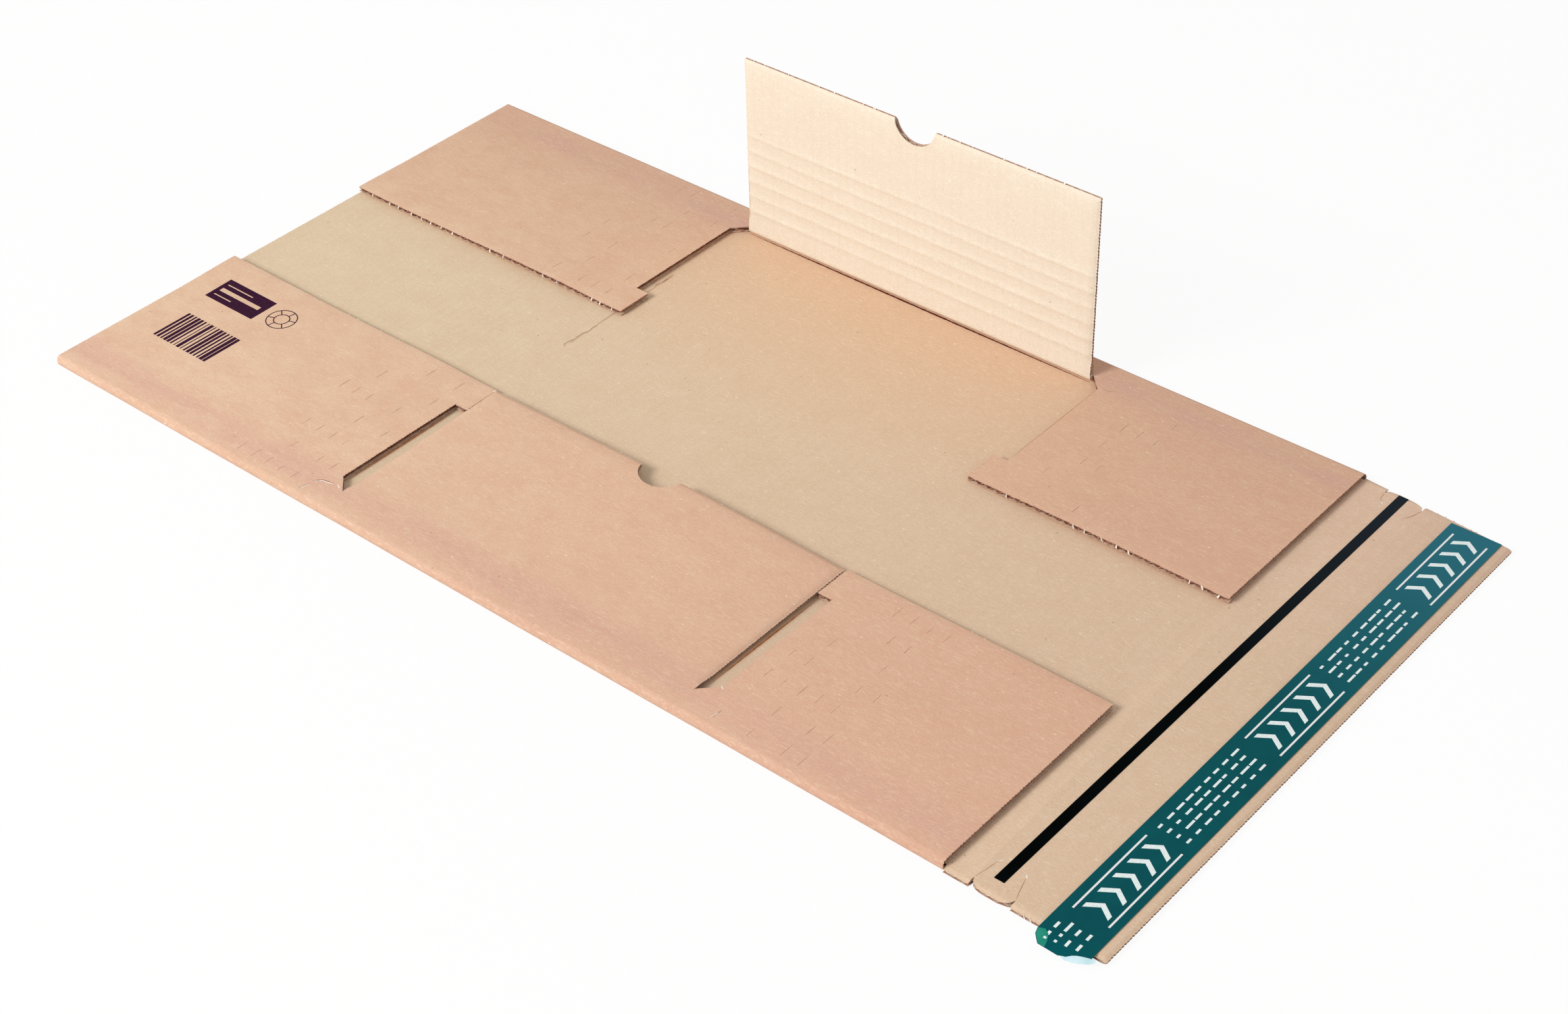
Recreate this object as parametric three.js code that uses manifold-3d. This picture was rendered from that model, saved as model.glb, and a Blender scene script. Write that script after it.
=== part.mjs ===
// Wraparound mailer, lying open: one die-cut sheet of single-wall corrugated board. Its two long edges are
// folded over and glued down as double panels, a loose flap is left on each side of the centre panel, and
// the closure end carries a tear tape and a strip of adhesive under its release liner.
// Millimetres, +Z up. The origin is the centre of the centre panel's underside, +X runs to the closure
// end and +Y to the far side, where the flap stands up. The flutes of the board run along Y.

import * as THREE from 'three';
import { mergeVertices } from 'three/addons/utils/BufferGeometryUtils.js';
import Module from 'manifold-3d';

const wasm = await Module();
wasm.setup();

// Board
const board = 3.3;              // thickness of one layer
const liner = 0.45;             // flat paper on each side of the flutes
const medium = 0.4;             // fluted paper between the liners
const flutePitch = 6.1;         // from crest to crest
const foldGap = 0.4;            // between the base and a layer folded over it
const pieceGap = 0.3;           // clearance between neighbouring pieces
const solidFold = 4;            // crushed board without open flutes, inwards from an outer fold or crease

// Sheet
const sheetWidth = 358;         // along Y, over the two outer folds
const creaseSpacing = 254;      // along X, between the creases of the two wings
const leftReach = 210.5;        // from the left crease to the left end
const rightReach = 154;         // from the right crease to the end of the double panels
const closureReach = 86.5;      // from there to the cut end of the closure
const closureTaper = 6;         // how far the closure's far edge runs in on its way to the cut end
const foldedDepth = 130;        // from an outer fold to the free edge of the layer folded over

// Flaps
const flapLength = 243;         // along its crease
const rimDepth = 16.4;          // from an outer fold to the crease of a flap
const flapTrim = 1.5;           // how far a flap's free edge stays behind the panels beside it
const farFlapAngle = 90;        // degrees that the far flap stands up
const thumbWidth = 28;
const thumbDepth = 12;
const scoreCount = 6;           // crease lines across a flap, for filled packs of different heights
const scoreFirst = 13.7;        // from the flap's crease to the first score
const scorePitch = 10;
const scoreWidth = 1.6;
const scoreDepth = 0.25;

// Slits between a flap and the panels beside it
const slitWidth = 9.2;
const tabDepth = 23;            // the tab that fills the slit next to the free edge

// Closure end
const tearCentre = 23.5;        // from the end of the double panels to the middle of the tear tape
const tearWidth = 5.5;
const tearThickness = 0.2;
const tearInset = 9.5;          // from the near edge to the end of the tape
const tapeEdge = 1;             // from the far edge to the end of a tape or liner
const pullTabShift = 1.5;       // from the middle of the tape to the middle of the pull tab
const pullTabWidth = 22.6;
const pullTabShoulder = 8;      // length of the curved shoulder of the pull tab, along the edge
const notchDepth = 5;
const linerCentre = 19.65;      // from the cut end to the middle of the release liner
const linerWidth = 28.2;
const linerThickness = 0.2;
const linerOverhang = 7;        // beyond the near edge
const adhesiveWidth = 24;
const adhesiveThickness = 0.25;
const adhesiveInset = 4;        // from the edges of the board

// Glue lines under the double panels
const glueWidth = 20;
const glueInset = 12;           // from the free edge and from the cut end

// Places worked out from the sizes
const sheetEdge = sheetWidth / 2;
const crease = creaseSpacing / 2;
const leftEnd = -crease - leftReach;
const doubleEnd = crease + rightReach;
const closureEnd = doubleEnd + closureReach;
const foldedFloor = board + foldGap;
const top = foldedFloor + board;
const flapSide = flapLength / 2;
const wingHinge = flapSide + pieceGap;
const slitSide = flapSide + slitWidth;
const flapCrease = sheetEdge - rimDepth;
const freeEdge = sheetEdge - foldedDepth;
const flapDepth = foldedDepth - rimDepth - flapTrim;
const tearMiddle = doubleEnd + tearCentre;
const linerMiddle = closureEnd - linerCentre;
const beyond = 1;               // how far a cutter reaches past what it cuts
const arcSegments = 5;

const outerKraft = new THREE.MeshStandardMaterial({ color: 0xdfb898, roughness: 0.92, metalness: 0 });
const innerKraft = new THREE.MeshStandardMaterial({ color: 0xf0d6b4, roughness: 0.92, metalness: 0 });
const glue = new THREE.MeshStandardMaterial({ color: 0xe8e2cf, roughness: 0.5, metalness: 0 });
const blackTape = new THREE.MeshStandardMaterial({ color: 0x0d1416, roughness: 0.35, metalness: 0 });
const clearAdhesive = new THREE.MeshStandardMaterial({ color: 0xe6dcc0, roughness: 0.3, metalness: 0 });
const tealLiner = new THREE.MeshStandardMaterial({ color: 0x105b5a, roughness: 0.4, metalness: 0 });

// Turns a closed three.js geometry into a solid that can be joined and cut.
function solid(geometry) {
  const bare = geometry.clone();
  bare.deleteAttribute('normal');
  bare.deleteAttribute('uv');
  const merged = mergeVertices(bare, 1e-4);
  return new wasm.Manifold(new wasm.Mesh({
    numProp: 3,
    vertProperties: new Float32Array(merged.attributes.position.array),
    triVerts: new Uint32Array(merged.index.array),
  }));
}

function shapeOf(points) {
  return new THREE.Shape(points.map(([x, y]) => new THREE.Vector2(x, y)));
}

function extrude(shapes, depth) {
  return new THREE.ExtrudeGeometry(shapes, { depth, bevelEnabled: false, curveSegments: arcSegments });
}

// A plate with its outline in XY, from one height to another.
function plate(outline, low, high) {
  return solid(extrude(outline, high - low).translate(0, 0, low));
}

function box(x0, x1, y0, y1, z0, z1) {
  return plate(shapeOf([[x0, y0], [x1, y0], [x1, y1], [x0, y1]]), z0, z1);
}

// A bar along X, with its section drawn in YZ.
function barAlongX(section, from, to) {
  const turn = new THREE.Matrix4().makeBasis(
    new THREE.Vector3(0, 1, 0), new THREE.Vector3(0, 0, 1), new THREE.Vector3(1, 0, 0));
  return solid(extrude(section, to - from).applyMatrix4(turn).translate(from, 0, 0));
}

// Bars along Y, with their sections drawn in XZ.
function barsAlongY(sections, from, to) {
  const turn = new THREE.Matrix4().makeBasis(
    new THREE.Vector3(1, 0, 0), new THREE.Vector3(0, 0, 1), new THREE.Vector3(0, -1, 0));
  return solid(extrude(sections, to - from).applyMatrix4(turn).translate(0, to, 0));
}

// The hollows between the liners and the fluted medium of a layer whose underside is at floor: one
// triangle under each crest and one over each trough, as far as they fit between two cut ends.
function flutes(x0, x1, y0, y1, floor) {
  const core = board - 2 * liner;
  const slope = Math.atan2(core, flutePitch / 2);
  const halfWidth = flutePitch / 2 - medium / (2 * Math.sin(slope));
  const height = core - medium / (2 * Math.cos(slope));
  const low = floor + liner;
  const high = floor + board - liner;
  const count = Math.floor((x1 - x0 - flutePitch) / (flutePitch / 2)) + 1;
  const start = (x0 + x1 - (count - 1) * flutePitch / 2) / 2;
  const sections = [];
  for (let i = 0; i < count; i += 1) {
    const x = start + i * flutePitch / 2;
    const crest = i % 2 === 0;
    const flat = crest ? low : high;
    const apex = crest ? low + height : high - height;
    sections.push(shapeOf([[x - halfWidth, flat], [x + halfWidth, flat], [x, apex]]));
  }
  return barsAlongY(sections, y0, y1);
}

// Section in YZ of the sheet with a layer folded over each long edge as far as depth from the fold.
function foldedSection(depth) {
  const radius = top / 2;
  const inner = sheetEdge - depth;
  const roof = sheetEdge - board;
  const section = new THREE.Shape();
  section.moveTo(-sheetEdge + radius, 0);
  section.lineTo(sheetEdge - radius, 0);
  section.absarc(sheetEdge - radius, radius, radius, -Math.PI / 2, Math.PI / 2, false);
  section.lineTo(inner, top);
  section.lineTo(inner, foldedFloor);
  section.lineTo(roof, foldedFloor);
  section.lineTo(roof, board);
  section.lineTo(-roof, board);
  section.lineTo(-roof, foldedFloor);
  section.lineTo(-inner, foldedFloor);
  section.lineTo(-inner, top);
  section.lineTo(-sheetEdge + radius, top);
  section.absarc(-sheetEdge + radius, radius, radius, Math.PI / 2, Math.PI * 3 / 2, false);
  return section;
}

// Cutter for the slit beside a flap, with a 45 degree end at the flap's crease.
function slit(end, side) {
  const inside = flapSide - beyond;
  const points = [
    [inside, flapCrease + beyond],
    [slitSide, flapCrease - slitWidth],
    [slitSide, freeEdge + tabDepth],
    [inside, freeEdge + tabDepth],
  ];
  const outline = shapeOf(points.map(([x, y]) => [end * x, side * y]));
  return plate(outline, board + foldGap / 2, top + beyond);
}

// A wing's double panels, out to x = reach. end is -1 for the left wing and 1 for the right.
function doublePanels(end, reach) {
  const x0 = Math.min(end * wingHinge, reach);
  const x1 = Math.max(end * wingHinge, reach);
  const base = [end * (crease + pieceGap / 2), end * (wingHinge - beyond)].sort((a, b) => a - b);
  let wing = barAlongX(foldedSection(foldedDepth), x0, x1)
    .subtract(box(...base, -sheetEdge - beyond, sheetEdge + beyond, -beyond, board + foldGap / 2));
  for (const side of [-1, 1]) {
    const mouth = side * (freeEdge - beyond);
    const blind = side * (sheetEdge - solidFold);
    wing = wing
      .subtract(slit(end, side))
      .subtract(flutes(x0, x1, Math.min(mouth, blind), Math.max(mouth, blind), foldedFloor));
  }
  return wing;
}

// Far edge of the closure end at a place along X.
function farEdgeAt(x) {
  return sheetEdge - closureTaper * (x - doubleEnd) / closureReach;
}

// Outline of the single-layer closure end, with a pull tab between two notches in both edges.
function closureOutline() {
  const middle = tearMiddle + pullTabShift;
  const notches = [middle - pullTabWidth / 2, middle + pullTabWidth / 2];
  const near = -sheetEdge;
  const shoulder = pullTabShoulder;
  const outline = new THREE.Shape();
  outline.moveTo(doubleEnd, near);
  outline.lineTo(notches[0], near);
  outline.lineTo(notches[0], near + notchDepth);
  outline.absellipse(notches[0] + shoulder, near + notchDepth, shoulder, notchDepth, Math.PI, Math.PI * 3 / 2);
  outline.lineTo(notches[1] - shoulder, near);
  outline.absellipse(notches[1] - shoulder, near + notchDepth, shoulder, notchDepth, -Math.PI / 2, 0);
  outline.lineTo(notches[1], near);
  outline.lineTo(closureEnd, near);
  const crown = farEdgeAt(notches[1]);
  outline.lineTo(closureEnd, farEdgeAt(closureEnd));
  outline.lineTo(notches[1], crown);
  outline.lineTo(notches[1], crown - notchDepth);
  outline.absellipse(notches[1] - shoulder, crown - notchDepth, shoulder, notchDepth, 0, Math.PI / 2);
  outline.lineTo(notches[0] + shoulder, crown);
  outline.absellipse(notches[0] + shoulder, crown - notchDepth, shoulder, notchDepth, Math.PI / 2, Math.PI);
  outline.lineTo(notches[0], farEdgeAt(notches[0]));
  outline.lineTo(doubleEnd, sheetEdge);
  return outline;
}

function rightWing() {
  const closure = plate(closureOutline(), 0, board)
    .subtract(flutes(doubleEnd, closureEnd, -sheetEdge - beyond, sheetEdge + beyond, 0));
  return doublePanels(1, doubleEnd).add(closure);
}

// The centre panel with the rim strips and outer folds behind the two flap creases.
function centrePanel() {
  const half = crease - pieceGap / 2;
  let panel = barAlongX(foldedSection(rimDepth), -half, half);
  for (const end of [-1, 1]) {
    const x = [end * flapSide, end * (half + beyond)].sort((a, b) => a - b);
    panel = panel.subtract(
      box(...x, -sheetEdge - beyond, sheetEdge + beyond, board + foldGap / 2, top + beyond));
  }
  return panel;
}

// A flap lying closed, with its crease along X at the origin and its free edge towards +Y.
function flap() {
  const radius = (thumbWidth ** 2 / 4 + thumbDepth ** 2) / (2 * thumbDepth);
  const notchAngle = Math.asin(thumbWidth / 2 / radius);
  const notchSteps = 4 * arcSegments;
  const outline = new THREE.Shape();
  outline.moveTo(-flapSide, pieceGap);
  outline.lineTo(flapSide, pieceGap);
  outline.lineTo(flapSide, flapDepth);
  outline.lineTo(thumbWidth / 2, flapDepth);
  for (let i = 1; i < notchSteps; i += 1) {
    const angle = notchAngle * (1 - 2 * i / notchSteps);
    outline.lineTo(radius * Math.sin(angle), flapDepth - thumbDepth + radius * (1 - Math.cos(angle)));
  }
  outline.lineTo(-thumbWidth / 2, flapDepth);
  outline.lineTo(-flapSide, flapDepth);
  let piece = plate(outline, -board, 0)
    .subtract(flutes(-flapSide, flapSide, solidFold, flapDepth + beyond, -board));
  for (let i = 0; i < scoreCount; i += 1) {
    const y = scoreFirst + i * scorePitch;
    const groove = shapeOf([
      [y - scoreWidth / 2, -board], [y - scoreWidth / 2, -board - beyond],
      [y + scoreWidth / 2, -board - beyond], [y + scoreWidth / 2, -board], [y, -board + scoreDepth],
    ]);
    piece = piece.subtract(barAlongX(groove, -flapSide - beyond, flapSide + beyond));
  }
  return piece;
}

function glueLine(end, side, reach) {
  const x = [end * (slitSide + glueInset), reach - end * glueInset].sort((a, b) => a - b);
  const y = [side * (freeEdge + glueInset), side * (freeEdge + glueInset + glueWidth)].sort((a, b) => a - b);
  return box(...x, ...y, board, foldedFloor);
}

function tearTape() {
  const x1 = tearMiddle + tearWidth / 2;
  return box(tearMiddle - tearWidth / 2, x1, -sheetEdge + tearInset, farEdgeAt(x1) - tapeEdge,
    board, board + tearThickness);
}

function closureAdhesive() {
  const x1 = linerMiddle + adhesiveWidth / 2;
  return box(linerMiddle - adhesiveWidth / 2, x1, -sheetEdge + adhesiveInset, farEdgeAt(x1) - adhesiveInset,
    board, board + adhesiveThickness);
}

function releaseLiner() {
  const x1 = linerMiddle + linerWidth / 2;
  const floor = board + adhesiveThickness;
  return box(linerMiddle - linerWidth / 2, x1, -sheetEdge - linerOverhang, farEdgeAt(x1) - tapeEdge,
    floor, floor + linerThickness);
}

function named(name, piece, material) {
  const { vertProperties, triVerts } = piece.getMesh();
  const geometry = new THREE.BufferGeometry();
  geometry.setAttribute('position', new THREE.BufferAttribute(vertProperties, 3));
  geometry.setIndex(new THREE.BufferAttribute(triVerts, 1));
  geometry.computeVertexNormals();
  const mesh = new THREE.Mesh(geometry, material);
  mesh.name = name;
  return mesh;
}

// Hangs a flap on its crease: side -1 is the near flap and 1 the far one, raised by an angle in degrees.
function hungFlap(name, side, raised, material) {
  const mesh = named(name, flap(), material);
  mesh.rotation.z = side > 0 ? Math.PI : 0;
  const hinge = new THREE.Group();
  hinge.position.set(0, side * flapCrease, top);
  hinge.rotation.x = -side * THREE.MathUtils.degToRad(raised);
  hinge.add(mesh);
  return hinge;
}

const mailer = new THREE.Group();
mailer.add(named('centre_panel', centrePanel(), outerKraft));
mailer.add(named('left_wing', doublePanels(-1, leftEnd), outerKraft));
mailer.add(named('right_wing', rightWing(), outerKraft));
mailer.add(hungFlap('near_flap', -1, 0, outerKraft));
mailer.add(hungFlap('far_flap', 1, farFlapAngle, innerKraft));
mailer.add(named('glue_line_near_left', glueLine(-1, -1, leftEnd), glue));
mailer.add(named('glue_line_far_left', glueLine(-1, 1, leftEnd), glue));
mailer.add(named('glue_line_near_right', glueLine(1, -1, doubleEnd), glue));
mailer.add(named('glue_line_far_right', glueLine(1, 1, doubleEnd), glue));
mailer.add(named('tear_tape', tearTape(), blackTape));
mailer.add(named('closure_adhesive', closureAdhesive(), clearAdhesive));
mailer.add(named('release_liner', releaseLiner(), tealLiner));

export default mailer;
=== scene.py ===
"""Wraparound mailer of corrugated board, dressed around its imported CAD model.

The mailer is one sheet of board: two long edges are folded over and glued down as double panels, a loose
flap is left on each side of the centre panel, and the closure end carries a tear tape and a strip of
adhesive under a release liner. Sizes are in millimetres until a mesh is made. The frame is the CAD model's:
the origin is the centre of the centre panel's underside, +X runs to the closure end, +Y to the far side.

The board is made as the real one is, of an outer liner, a fluted paper and an inner liner. Each ply is cut
to an outline on the unfolded sheet, at (x, across), and is then folded into place. "across" is measured
along the outer face from the middle of the sheet, and "depth" goes from the outer face into the board.
"""

from __future__ import annotations

import logging
import math
import random
from dataclasses import dataclass, field, replace
from enum import Enum
from typing import Any, Callable, Iterable, Sequence

import bmesh
import bpy
from mathutils import Matrix, Vector


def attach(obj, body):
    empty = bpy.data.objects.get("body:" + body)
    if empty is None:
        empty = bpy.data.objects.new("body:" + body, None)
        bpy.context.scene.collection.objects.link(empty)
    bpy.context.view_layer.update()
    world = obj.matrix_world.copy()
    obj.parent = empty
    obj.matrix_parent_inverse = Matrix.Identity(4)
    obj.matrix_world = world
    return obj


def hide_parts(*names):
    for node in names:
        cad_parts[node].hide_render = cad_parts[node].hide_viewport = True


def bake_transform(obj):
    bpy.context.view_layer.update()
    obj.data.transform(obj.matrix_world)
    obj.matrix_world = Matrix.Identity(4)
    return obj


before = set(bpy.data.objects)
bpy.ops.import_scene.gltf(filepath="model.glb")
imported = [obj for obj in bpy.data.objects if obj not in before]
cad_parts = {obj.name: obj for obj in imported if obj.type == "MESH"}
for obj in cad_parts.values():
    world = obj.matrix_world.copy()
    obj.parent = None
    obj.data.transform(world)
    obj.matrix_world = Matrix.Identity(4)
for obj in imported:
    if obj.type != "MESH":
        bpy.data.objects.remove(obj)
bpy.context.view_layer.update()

log = logging.getLogger("mailer")

Mesh = bpy.types.Mesh
Object = bpy.types.Object
Material = bpy.types.Material
Point = tuple[float, float]
Place = tuple[float, float, float]
Placer = Callable[[float, float, float], Place]

MM = 0.001


class End(Enum):
    """End of the sheet that a wing lies at, with its direction along X."""

    LEFT = -1
    RIGHT = 1

    @property
    def label(self) -> str:
        """Start of the names of its pieces."""
        return self.name.lower()

    @property
    def body(self) -> str:
        """The body that its wing belongs to."""
        return f"{self.label}_side"


class Side(Enum):
    """Long side of the sheet, with its direction along Y."""

    NEAR = -1
    FAR = 1


@dataclass(frozen=True)
class Sheet:
    """Sizes of the board and of the cut sheet, as the CAD model has them, and the way it folds."""

    board: float = 3.3
    liner: float = 0.45
    medium: float = 0.35
    flute_pitch: float = 6.1
    half_width: float = 179.0
    crease: float = 127.0
    left_end: float = -337.5
    double_end: float = 281.0
    closure_end: float = 367.5
    closure_taper: float = 6.0
    flap_side: float = 121.5
    wing_hinge: float = 121.8
    bend_end: float = 129.5
    slit_side: float = 130.7
    flap_crease: float = 162.6
    slit_blunt: float = 153.4
    tab_end: float = 72.0
    free_edge: float = 49.0
    top: float = 7.0
    flap_depth: float = 112.1
    flap_bend: float = 4.0
    crushed: float = 4.0
    tooth_pitch: float = 2.0
    tooth_depth: float = 0.5
    pinch_reach: float = 2.4
    loose_depth: float = 45.0
    bead_height: float = 0.55
    crease_gap: float = 0.12
    tuck: float = 0.6
    tuck_drop: float = 0.015

    @property
    def radius(self) -> float:
        """Radius of the outer face round an outer fold."""
        return self.top / 2

    @property
    def flat(self) -> float:
        """Half width of the base up to where an outer fold starts."""
        return self.half_width - self.radius

    @property
    def arc(self) -> float:
        """Length of the outer face round an outer fold."""
        return math.pi * self.radius

    def over(self, y: float) -> float:
        """Turns a place y on the folded-over layer into its distance across the unfolded sheet."""
        return 2 * self.flat + self.arc - abs(y)

    def fold(self, x: float, across: float, depth: float) -> Place:
        """Folds a point of the sheet into place.

        Args:
            x: Place along the sheet.
            across: Place across the unfolded sheet, negative on the near side.
            depth: Distance from the outer face into the board.

        Returns:
            The point in the frame.
        """
        side = math.copysign(1.0, across)
        reach = abs(across)
        if reach <= self.flat:
            return x, across, depth
        if reach < self.flat + self.arc:
            turn = (reach - self.flat) / self.radius
            inner = self.radius - depth
            swell = fold_swell(x) * math.sin(turn) * (1 - depth / self.board)
            return x, side * (self.flat + (inner + swell) * math.sin(turn)), self.radius - inner * math.cos(turn)
        y = side * (2 * self.flat + self.arc - reach)
        depth = pinched(depth, abs(y) - self.free_edge, 0.12)
        return x, y, self.top - depth + panel_lift(x, y)

    def far_edge(self, x: float) -> float:
        """Far edge of the closure end at a place along X."""
        share = (x - self.double_end) / (self.closure_end - self.double_end)
        return self.half_width - self.closure_taper * share


SHEET = Sheet()


def fold_swell(x: float) -> float:
    """How far an outer fold stands out at a place along X, as hand folding leaves it uneven."""
    ripple = 0.07 * math.sin(2 * math.pi * x / SHEET.flute_pitch)
    return ripple + 0.16 * math.sin(x / 37.0 + 0.6) + 0.10 * math.sin(x / 13.3) - 0.25


def smooth(value: float, low: float, high: float) -> float:
    """Smooth step from 0 at low to 1 at high."""
    share = min(1.0, max(0.0, (value - low) / (high - low)))
    return share * share * (3 - 2 * share)


def pinched(depth: float, distance: float, amount: float) -> float:
    """Squeezes the board towards its middle next to a cut edge, as the cutting rule leaves it.

    Args:
        depth: Distance from the outer face into the board.
        distance: Distance from the cut edge.
        amount: Share of the thickness that is lost at the edge itself.

    Returns:
        The squeezed depth.
    """
    middle = SHEET.board / 2
    return middle + (depth - middle) * (1 - amount * (1 - smooth(distance, 0.0, SHEET.pinch_reach)))


def panel_lift(x: float, y: float) -> float:
    """How far a glued panel stands up near its free edge, where no glue holds it.

    Args:
        x: Place along X.
        y: Place along Y.

    Returns:
        The height above the glued place.
    """
    if abs(x) < SHEET.bend_end + 4:
        return 0.0
    free = 1 - smooth(abs(y), SHEET.free_edge, SHEET.free_edge + SHEET.loose_depth)
    ends = smooth(abs(x), SHEET.bend_end + 4, SHEET.bend_end + 40)
    wave = 0.45 + 0.35 * math.sin(x / 31.0 + (1.3 if y > 0 else 0.0))
    return free * ends * wave


def flap_lift(x: float, t: float) -> float:
    """How far the closed flap bows up, most in the middle of its free edge.

    Args:
        x: Place along X.
        t: Distance from the flap's crease.

    Returns:
        The height above the flat place.
    """
    along = smooth(t, 8, SHEET.flap_depth + 12)
    middle = 1 - min(1.0, ((x - 10) / 150.0) ** 2)
    corner = 1.3 * smooth(-x, 40, SHEET.flap_side) * along
    return 3.4 * along * middle ** 1.5 + corner


# Meshes


def hex_colour(code: str) -> tuple[float, float, float, float]:
    """Turns an sRGB hex colour such as "#DDC4A0" into the linear colour that a shader takes."""
    channels = [int(code[i:i + 2], 16) / 255 for i in (1, 3, 5)]
    linear = [c / 12.92 if c <= 0.04045 else ((c + 0.055) / 1.055) ** 2.4 for c in channels]
    return linear[0], linear[1], linear[2], 1.0


def new_mesh(name: str, points: Iterable[Sequence[float]], faces: Sequence[Sequence[int]]) -> Mesh:
    """Makes a mesh from its points and faces.

    Args:
        name: Name of the mesh.
        points: Its points.
        faces: Its faces, by the numbers of their points.

    Returns:
        The mesh.
    """
    mesh = bpy.data.meshes.new(name)
    mesh.from_pydata(list(points), [], faces)
    return mesh


def new_object(name: str, mesh: Mesh) -> Object:
    """Adds an object with this mesh to the scene."""
    piece = bpy.data.objects.new(name, mesh)
    bpy.context.scene.collection.objects.link(piece)
    return piece


def finished(piece: Object, body: str, slot: str, *nodes: str) -> Object:
    """Puts a piece in its body and hides the CAD nodes that it stands for."""
    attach(piece, body)
    return declared(piece, slot, *nodes)


def finish_board(plies: Iterable[Object], body: str, slot: str = "kraft_board", node: str = "") -> None:
    for index, piece in enumerate(plies):
        finished(piece, body, slot, *([node] if node and index == 0 else []))


def declared(piece: Object, slot: str, *nodes: str) -> Object:
    """Hides the CAD nodes that a piece stands for, and logs the piece."""
    if nodes:
        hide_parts(*nodes)
    log.info("made %s, %d faces", piece.name, len(piece.data.polygons))
    return piece


def toothed(x: float, start: float, end: float, outward: float) -> list[Point]:
    """Points of an edge that a toothed cutting rule has made, at one x.

    Args:
        x: Place of the tips of the teeth.
        start: Where the edge starts, across the sheet.
        end: Where it ends.
        outward: Direction along X in which the board ends there.

    Returns:
        The points in order, with both ends.
    """
    count = max(1, round(abs(end - start) / SHEET.tooth_pitch))
    step = (end - start) / count
    points = []
    for i in range(count):
        uneven = 0.7 + 0.3 * math.sin(1.7 * i + x)
        points.append((x - outward * SHEET.tooth_depth * uneven, start + i * step))
        points.append((x - outward * 0.06, start + (i + 0.33) * step))
        points.append((x - outward * 0.04, start + (i + 0.67) * step))
    points.append((x - outward * SHEET.tooth_depth, end))
    return points


def steps(low: float, high: float, count: int) -> list[float]:
    """Places that divide a stretch into equal parts, without its ends."""
    return [low + (high - low) * i / count for i in range(1, count)]


def block(x0: float, y0: float, x1: float, y1: float) -> list[Point]:
    """Outline of a rectangle."""
    return [(x0, y0), (x1, y0), (x1, y1), (x0, y1)]


def ply(
    name: str,
    outlines: Iterable[Sequence[Point]],
    depths: tuple[float, float],
    place: Placer,
    cuts: tuple[Iterable[float], Iterable[float]],
    materials: Sequence[Material],
) -> Object:
    """Makes one flat paper of the board, or a film, cut to its outlines and put in place.

    Args:
        name: Name of the piece.
        outlines: Outlines on the unfolded sheet.
        depths: Depth of its two faces below the outer face of the board.
        place: Turns x, across and depth into a point in the frame.
        cuts: Places along X and across the sheet where the ply is divided so that it can bend.
        materials: Material of the faces, then of the cut edge.

    Returns:
        The object, with its mesh in metres.
    """
    flat = bmesh.new()
    for outline in outlines:
        flat.faces.new([flat.verts.new((x, s, 0)) for x, s in outline])
    for axis, places in enumerate(cuts):
        for value in places:
            at = Vector((value, 0, 0)) if axis == 0 else Vector((0, value, 0))
            normal = Vector((1, 0, 0)) if axis == 0 else Vector((0, 1, 0))
            everything = flat.verts[:] + flat.edges[:] + flat.faces[:]
            bmesh.ops.bisect_plane(flat, geom=everything, plane_co=at, plane_no=normal, dist=1e-3)
    flat.verts.index_update()
    count = len(flat.verts)
    vertices = [place(v.co.x, v.co.y, depth) for depth in depths for v in flat.verts]
    faces = []
    edge_faces = []
    for face in flat.faces:
        ring = [v.index for v in face.verts]
        faces.append(ring)
        faces.append([i + count for i in reversed(ring)])
        for loop in face.loops:
            if loop.edge.is_boundary:
                a, b = loop.vert.index, loop.link_loop_next.vert.index
                edge_faces.append([b, a, a + count, b + count])
    flat.free()
    mesh = new_mesh(name, [[c * MM for c in p] for p in vertices], faces + edge_faces)
    for material in materials:
        mesh.materials.append(material)
    if len(materials) > 1:
        for polygon in mesh.polygons[len(faces):]:
            polygon.material_index = 1
    return outward(new_object(name, mesh))


def outward(piece: Object) -> Object:
    """Points every face of a closed mesh outwards.

    Args:
        piece: The piece.

    Returns:
        The same piece.
    """
    mesh = bmesh.new()
    mesh.from_mesh(piece.data)
    bmesh.ops.recalc_face_normals(mesh, faces=mesh.faces[:])
    mesh.to_mesh(piece.data)
    mesh.free()
    return piece


def soften(piece: Object, angle: float = 25.0) -> Object:
    """Shades a bent piece smoothly, except over edges sharper than an angle in degrees.

    Args:
        piece: The piece.
        angle: The angle between two faces.

    Returns:
        The same piece.
    """
    limit = math.radians(angle)
    mesh = bmesh.new()
    mesh.from_mesh(piece.data)
    for face in mesh.faces:
        face.smooth = True
    for edge in mesh.edges:
        edge.smooth = len(edge.link_faces) == 2 and edge.calc_face_angle(0.0) < limit
    mesh.to_mesh(piece.data)
    mesh.free()
    return piece


# Geometry Nodes


def add_node(tree: bpy.types.NodeTree, kind: str, inputs: dict[Any, Any] | None = None, **settings: Any) -> Any:
    """Adds a node with its settings, and sets or links its inputs.

    Args:
        tree: Tree that the node goes into.
        kind: Blender's name of the kind of node.
        inputs: Values or output sockets, by the name or number of the input.
        settings: The node's own settings.

    Returns:
        The new node.
    """
    made = tree.nodes.new(kind)
    for key, value in settings.items():
        setattr(made, key, value)
    for key, value in (inputs or {}).items():
        if isinstance(value, bpy.types.NodeSocket):
            tree.links.new(value, made.inputs[key])
        else:
            made.inputs[key].default_value = value
    return made


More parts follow.
